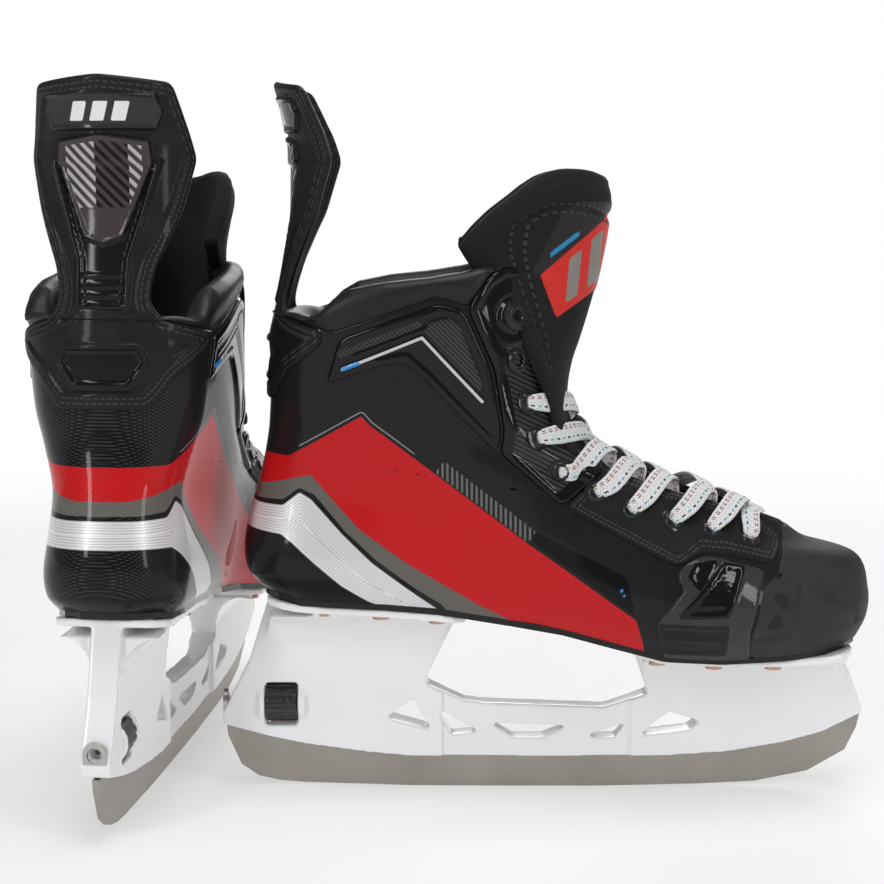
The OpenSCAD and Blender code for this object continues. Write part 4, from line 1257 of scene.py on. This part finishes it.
# ---------------------------------------------------------------- tendon guard
# Half of the guard's outline, as mm round it and height, and its back's x at each height
GUARD = [(20.5, 181), (27, 187), (33, 194), (46, 200.5), (56, 206), (57.5, 209.5), (54, 213), (40, 216),
         (26, 219.5), (21.3, 225), (21.3, 231), (23.5, 240), (35, 262), (43, 284), (32.5, 314.5)]
GUARD_BACK = np.array([[176, -126.6], [206, -126], [215, -124.5], [230, -121], [242, -118.8], [255, -117.3],
                       [265, -116.4], [290, -116.2], [300, -117.8], [308, -119.6], [319, -122.7]])
BADGE = [(-26, 303), (-23, 310), (23, 310), (26, 303), (23, 296.3), (-23, 296.3)]
WINDOW = [(-20.3, 281.5), (-19.3, 290.6), (0, 293.2), (19.3, 290.6), (20.3, 281.5), (8.2, 252.6), (0, 249.7),
          (-8.2, 252.6)]
LOW_WINDOW = [(-18.8, 200.6), (-15.5, 206.3), (15.5, 206.3), (18.8, 200.6), (12, 191), (-12, 191)]
CHANNEL = [(-24.5, 282), (-21, 284), (21, 284), (24.5, 282), (11.5, 243), (10, 222), (-10, 222), (-11.5, 243)]


def guard_surface(s, z):
    """Outer face of the guard, s mm round it from the middle of its back."""
    high = ease((z - 212) / 48)
    wide, deep = 41.5 + 2.5 * high, 33 + 14 * high
    x = smooth_at(z, GUARD_BACK) + deep * (1 - np.cos(s / wide))
    return np.stack([x, wide * np.sin(s / wide), z], -1)


def smooth_at(v, table):
    """Smoothly interpolated second column of a table at v in its first."""
    fine = smooth_line(table, 2.0)
    return np.interp(v, fine[:, 0], fine[:, 1])


def guard_normal(s, z):
    e = 0.2
    across = guard_surface(s + e, z) - guard_surface(s - e, z)
    up = guard_surface(s, z + e) - guard_surface(s, z - e)
    return -unit(np.cross(across, up))


def guard_relief(flat, far, badge, window, low, channel):
    """How far in mm each point of the guard's outer face stands proud of its plain surface."""
    def on_both(line, width):
        mirrored = [(-y, z) for y, z in line]
        return near_line(flat, line, width) + near_line(flat, mirrored, width)
    relief = -0.9 * ease((far - 6.2) / 1.0)
    relief += 1.6 * ease((badge + 1.0) / 0.9) - 0.5 * ease((badge - 0.6) / 0.7)
    relief += 1.3 * on_both([(24, 283), (11, 243), (10.5, 224)], 2.2)
    relief += 1.4 * ease((window + 1.4) / 0.9) - 0.6 * ease((window - 0.5) / 0.7)
    relief -= 1.2 * ease((channel - 1.6) / 1.0)
    for rib_z in (232, 228, 224):
        relief += 0.9 * near_line(flat, [(-8.5, rib_z), (8.5, rib_z)], 1.3)
    relief += 0.9 * near_line(flat, [(-9, 236.5), (9, 236.5)], 1.4)
    relief += 1.1 * ease((low + 2.6) / 1.2) - 1.5 * ease((low - 0.3) / 1.0)
    return relief + 0.6 * on_both([(48, 208), (30, 212), (12, 219)], 1.6)


def build_guard():
    outline = GUARD + [(0, 317.5)] + [(-y, z) for y, z in reversed(GUARD)]
    flat, tris, far = plate_mesh(rounded(outline, 1.6), 0.85, 2.2, (0.4, 0.9, 1.5))
    y, z = flat[:, 0], flat[:, 1]
    badge, window, low, channel = [inside_by(flat, o) for o in (BADGE, WINDOW, LOW_WINDOW, CHANNEL)]
    f = np.clip(far / 2.2, 0, 1)
    rim = np.sqrt(np.clip(1 - (1 - f) ** 2, 0, 1))
    relief = guard_relief(flat, far, badge, window, low, channel)
    base, normal = guard_surface(y, z), guard_normal(y, z)
    thick = 4.4 - 2.0 * ease((214 - z) / 20)
    top = base + normal * ((relief - 0.4) * rim + (rim - 1) * thick / 2)[:, None]
    under = base - normal * (thick * (0.5 + 0.5 * rim))[:, None]
    count = len(flat)
    faces = slab_faces(tris, count)
    points = np.concatenate([top, under])
    back_only = np.r_[np.zeros(count), np.full(count, -9.0)]
    bar = [(-4.2, 299.2), (1.8, 299.2), (4.2, 307), (-1.8, 307)]
    bars = [inside_by(flat - [c, 0], bar) for c in (-9, 0, 9)]
    gloss = np.maximum(np.minimum(channel, 45.0), low)
    values = dict(seam=np.r_[far, far], along=np.r_[y + z, y + z], gloss=np.r_[gloss, gloss] + back_only,
                  badge=np.r_[badge, badge] + back_only * 9, window=np.r_[window, window] + back_only * 9,
                  light=np.r_[np.max(bars, 0), np.full(count, -9.0)])
    start, end = [-121, 0, 222], [-121, 0, 240]
    objs = add_pair("tendon_guard_moulding", points, faces, guard_look, "guard",
                    ["tendon_guard_base", "tendon_guard", "guard_badge"], 50, values, body=None)
    for skate, obj in zip(skates, objs):
        a, b = skate.row([start, end])
        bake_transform(obj)


build_guard()


# ---------------------------------------------------------------- tongue
TONGUE_LINE = [(97.5, 117), (87, 123), (73, 128), (55.5, 134), (42, 139.5), (29.5, 146), (19, 154), (11, 164),
               (6.5, 175), (6.5, 186), (8.5, 197), (11.5, 206), (15.5, 219), (20, 236), (23.5, 255), (25, 270),
               (25, 284)]
TONGUE_TOP = np.array([[-60, 200], [-44, 221], [-40, 234], [-38, 245], [-31, 257], [-20.5, 264], [-10, 271.5],
                       [-3.5, 276.3], [5.5, 278.3], [17, 278], [24, 275.5], [32, 271]])
TONGUE_RED = [(-7, 235.5), (22.5, 260.5), (33, 260.5), (33.5, 227), (17.5, 228.5), (0, 217)]
TONGUE_SHIELD = [(-10.5, 236.5), (-4.5, 249), (1.5, 261), (10, 266.5), (33, 266.5), (33, 260.5), (22.5, 260.5),
                 (-7, 235.5)]
TONGUE_TAB = [(-3, 242.5), (9.5, 252), (9.5, 254.5), (-3, 245)]


tongue_line = smooth_line(TONGUE_LINE, 1.0)
tongue_run = np.gradient(tongue_line, axis=0)


def tongue_point(a, s, inside):
    """A point of the tongue: a from -1 to 1 across it, s from 0 to 1 up it, inside mm behind its face."""
    at = s * (len(tongue_line) - 1)
    index = np.arange(len(tongue_line))
    x, z = [np.interp(at, index, tongue_line[:, k]) for k in (0, 1)]
    run_x, run_z = [np.interp(at, index, tongue_run[:, k]) for k in (0, 1)]
    size = np.hypot(run_x, run_z)
    forward = ease((z - 175) / 70)
    wide = 25.5 + 5 * ease((z - 150) / 60) + 6 * ease((z - 225) / 50)
    deep = 8 + 63 * forward
    phi = a * math.radians(84)
    y, back = (wide - inside) * np.sin(phi), deep * (1 - np.cos(phi)) + inside * np.cos(phi)
    return np.stack([x - run_z / size * back, y, z + run_x / size * back], -1)


def build_tongue():
    rows, cols = 210, 96
    share, a = np.meshgrid(np.linspace(0, 1, rows), np.linspace(-1, 1, cols), indexing="ij")
    across = np.linspace(-1, 1, cols)

    def above(s):
        p = tongue_point(across, s, 0.0)
        return np.interp(p[:, 0], TONGUE_TOP[:, 0], TONGUE_TOP[:, 1]) - p[:, 2]
    top = settled(bisect(above, np.full(cols, 0.5), np.full(cols, 1.0)), 6)
    s = share * top[None]
    thick = 3.0 + 4.5 * ease((s - 0.62) / 0.2)
    front, back = tongue_point(a, s, 0.0), tongue_point(a, s, thick)
    flat = front[..., [0, 2]].reshape(-1, 2)
    edge = np.minimum((1 - np.abs(a)) * 45, (1 - share) * 150).reshape(-1)
    puff = 1.6 * ease(edge / 5.0) - 1.5 * np.exp(-((edge - 10.5) / 1.4) ** 2) * ease((flat[:, 1] - 190) / 20)
    shield, red = inside_by(flat, TONGUE_SHIELD), inside_by(flat, TONGUE_RED)
    puff += 0.5 * ease((np.maximum(shield, red) + 0.6) / 0.8)
    out = unit(front - back).reshape(-1, 3)
    front = (front.reshape(-1, 3) + out * puff[:, None]).reshape(front.shape)
    points, faces = closed_skin(front, back, 2.2)
    rest = len(points) - len(flat)

    def in_front(numbers, behind=-9.0):
        return np.r_[numbers, np.full(rest, behind)]
    bars = [inside_by(flat, [(c, 200), (c + 5, 200), (c + 11, 275), (c + 6, 275)]) for c in (2, 11, 20)]
    values = dict(red=in_front(red), shield=in_front(shield), tab=in_front(inside_by(flat, TONGUE_TAB)),
                  rim=in_front(np.where(flat[:, 1] > 190, edge, 99.0), 99.0),
                  along=in_front((share * 150 + a * 60).reshape(-1), 0.0),
                  bars=in_front(np.minimum(np.max(bars, 0), red - 3.0)))
    objs = add_pair("tongue_padding", points, faces, tongue_look, "tongue",
                    ["tongue_lower", "tongue_upper", "tongue_shield"], 80, values, body=None)
    for skate, obj in zip(skates, objs):
        p, q = skate.row([[8, 0, 210], [32, 0, 252]])
        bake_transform(obj)


build_tongue()


# ---------------------------------------------------------------- collar and lining
COLLAR_TOP = np.array([[-140, 216], [-112, 216], [-101, 219], [-95, 224.5], [-87, 229], [-72, 232], [-54, 234],
                       [-38, 236.5], [-30, 238.5], [-20, 239.5]])
COLLAR_FRONT_X = -27.0


def collar_w():
    """w at which the collar ends, under the eyestay."""
    w = np.linspace(0, 1, 400)
    x = surface(w, top_t(w, SHELL_TOP))[:, 0]
    return float(np.interp(COLLAR_FRONT_X, x, w))


def build_collar():
    edge = collar_w()
    w = np.linspace(-edge, edge, 220)
    t = settled(top_t(w, SHELL_TOP), 8)
    base, n = surface(w, t), outward(w, t)
    rise = np.interp(base[:, 0], COLLAR_TOP[:, 0], COLLAR_TOP[:, 1]) - base[:, 2]
    rise = np.clip(rise, 4.0, 20)
    section = [(-3.2, -7, 0), (-2.6, -2.5, 0), (-0.4, 1.2, 0), (1.0, 3.0, 0.2), (1.7, 0, 0.62), (0.6, 0, 0.88),
               (-2.4, 0.4, 1.0), (-6.2, 0.2, 1.0), (-9.6, -1, 0.86), (-11.8, -2, 0.5), (-12.0, -6, 0),
               (-11.2, -16, 0), (-9.6, -26, 0), (-7.0, -30, 0), (-4.6, -26, 0), (-4.0, -15, 0)]
    loops = []
    for out, up, share in section:
        place = base + n * out
        place[:, 2] += up + share * rise
        loops.append(place)
    loops = np.array(loops)
    count = 44
    rings = []
    for k in range(loops.shape[1]):
        line = smooth_line(loops[:, k], 0.8, closed=True)
        pick = np.linspace(0, len(line), count, endpoint=False)
        closed = np.vstack([line, line[:1]])
        rings.append(np.stack([np.interp(pick, np.arange(len(closed)), closed[:, c]) for c in range(3)], 1))
    points, faces = np.concatenate(rings), tube_faces(len(rings), count)
    for obj in add_pair("collar_padding", points, faces, leather_look, "collar", ["liner"], 80):
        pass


def build_lining():
    def front(t):
        t = np.asarray(t, float)
        return bisect(lambda w: -26 - surface(w, t)[..., 0], np.full(t.shape, 0.1), np.ones(t.shape))
    w, t = skin_grid(60, 120, SHELL_TOP - [0, 9], front, 2.2)
    points, faces = closed_skin(skin_point(w, t, -3.4), skin_point(w, t, -8.0), 0.8)
    for obj in add_pair("lining", points, faces, lining_look, "collar"):
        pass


build_collar()
build_lining()
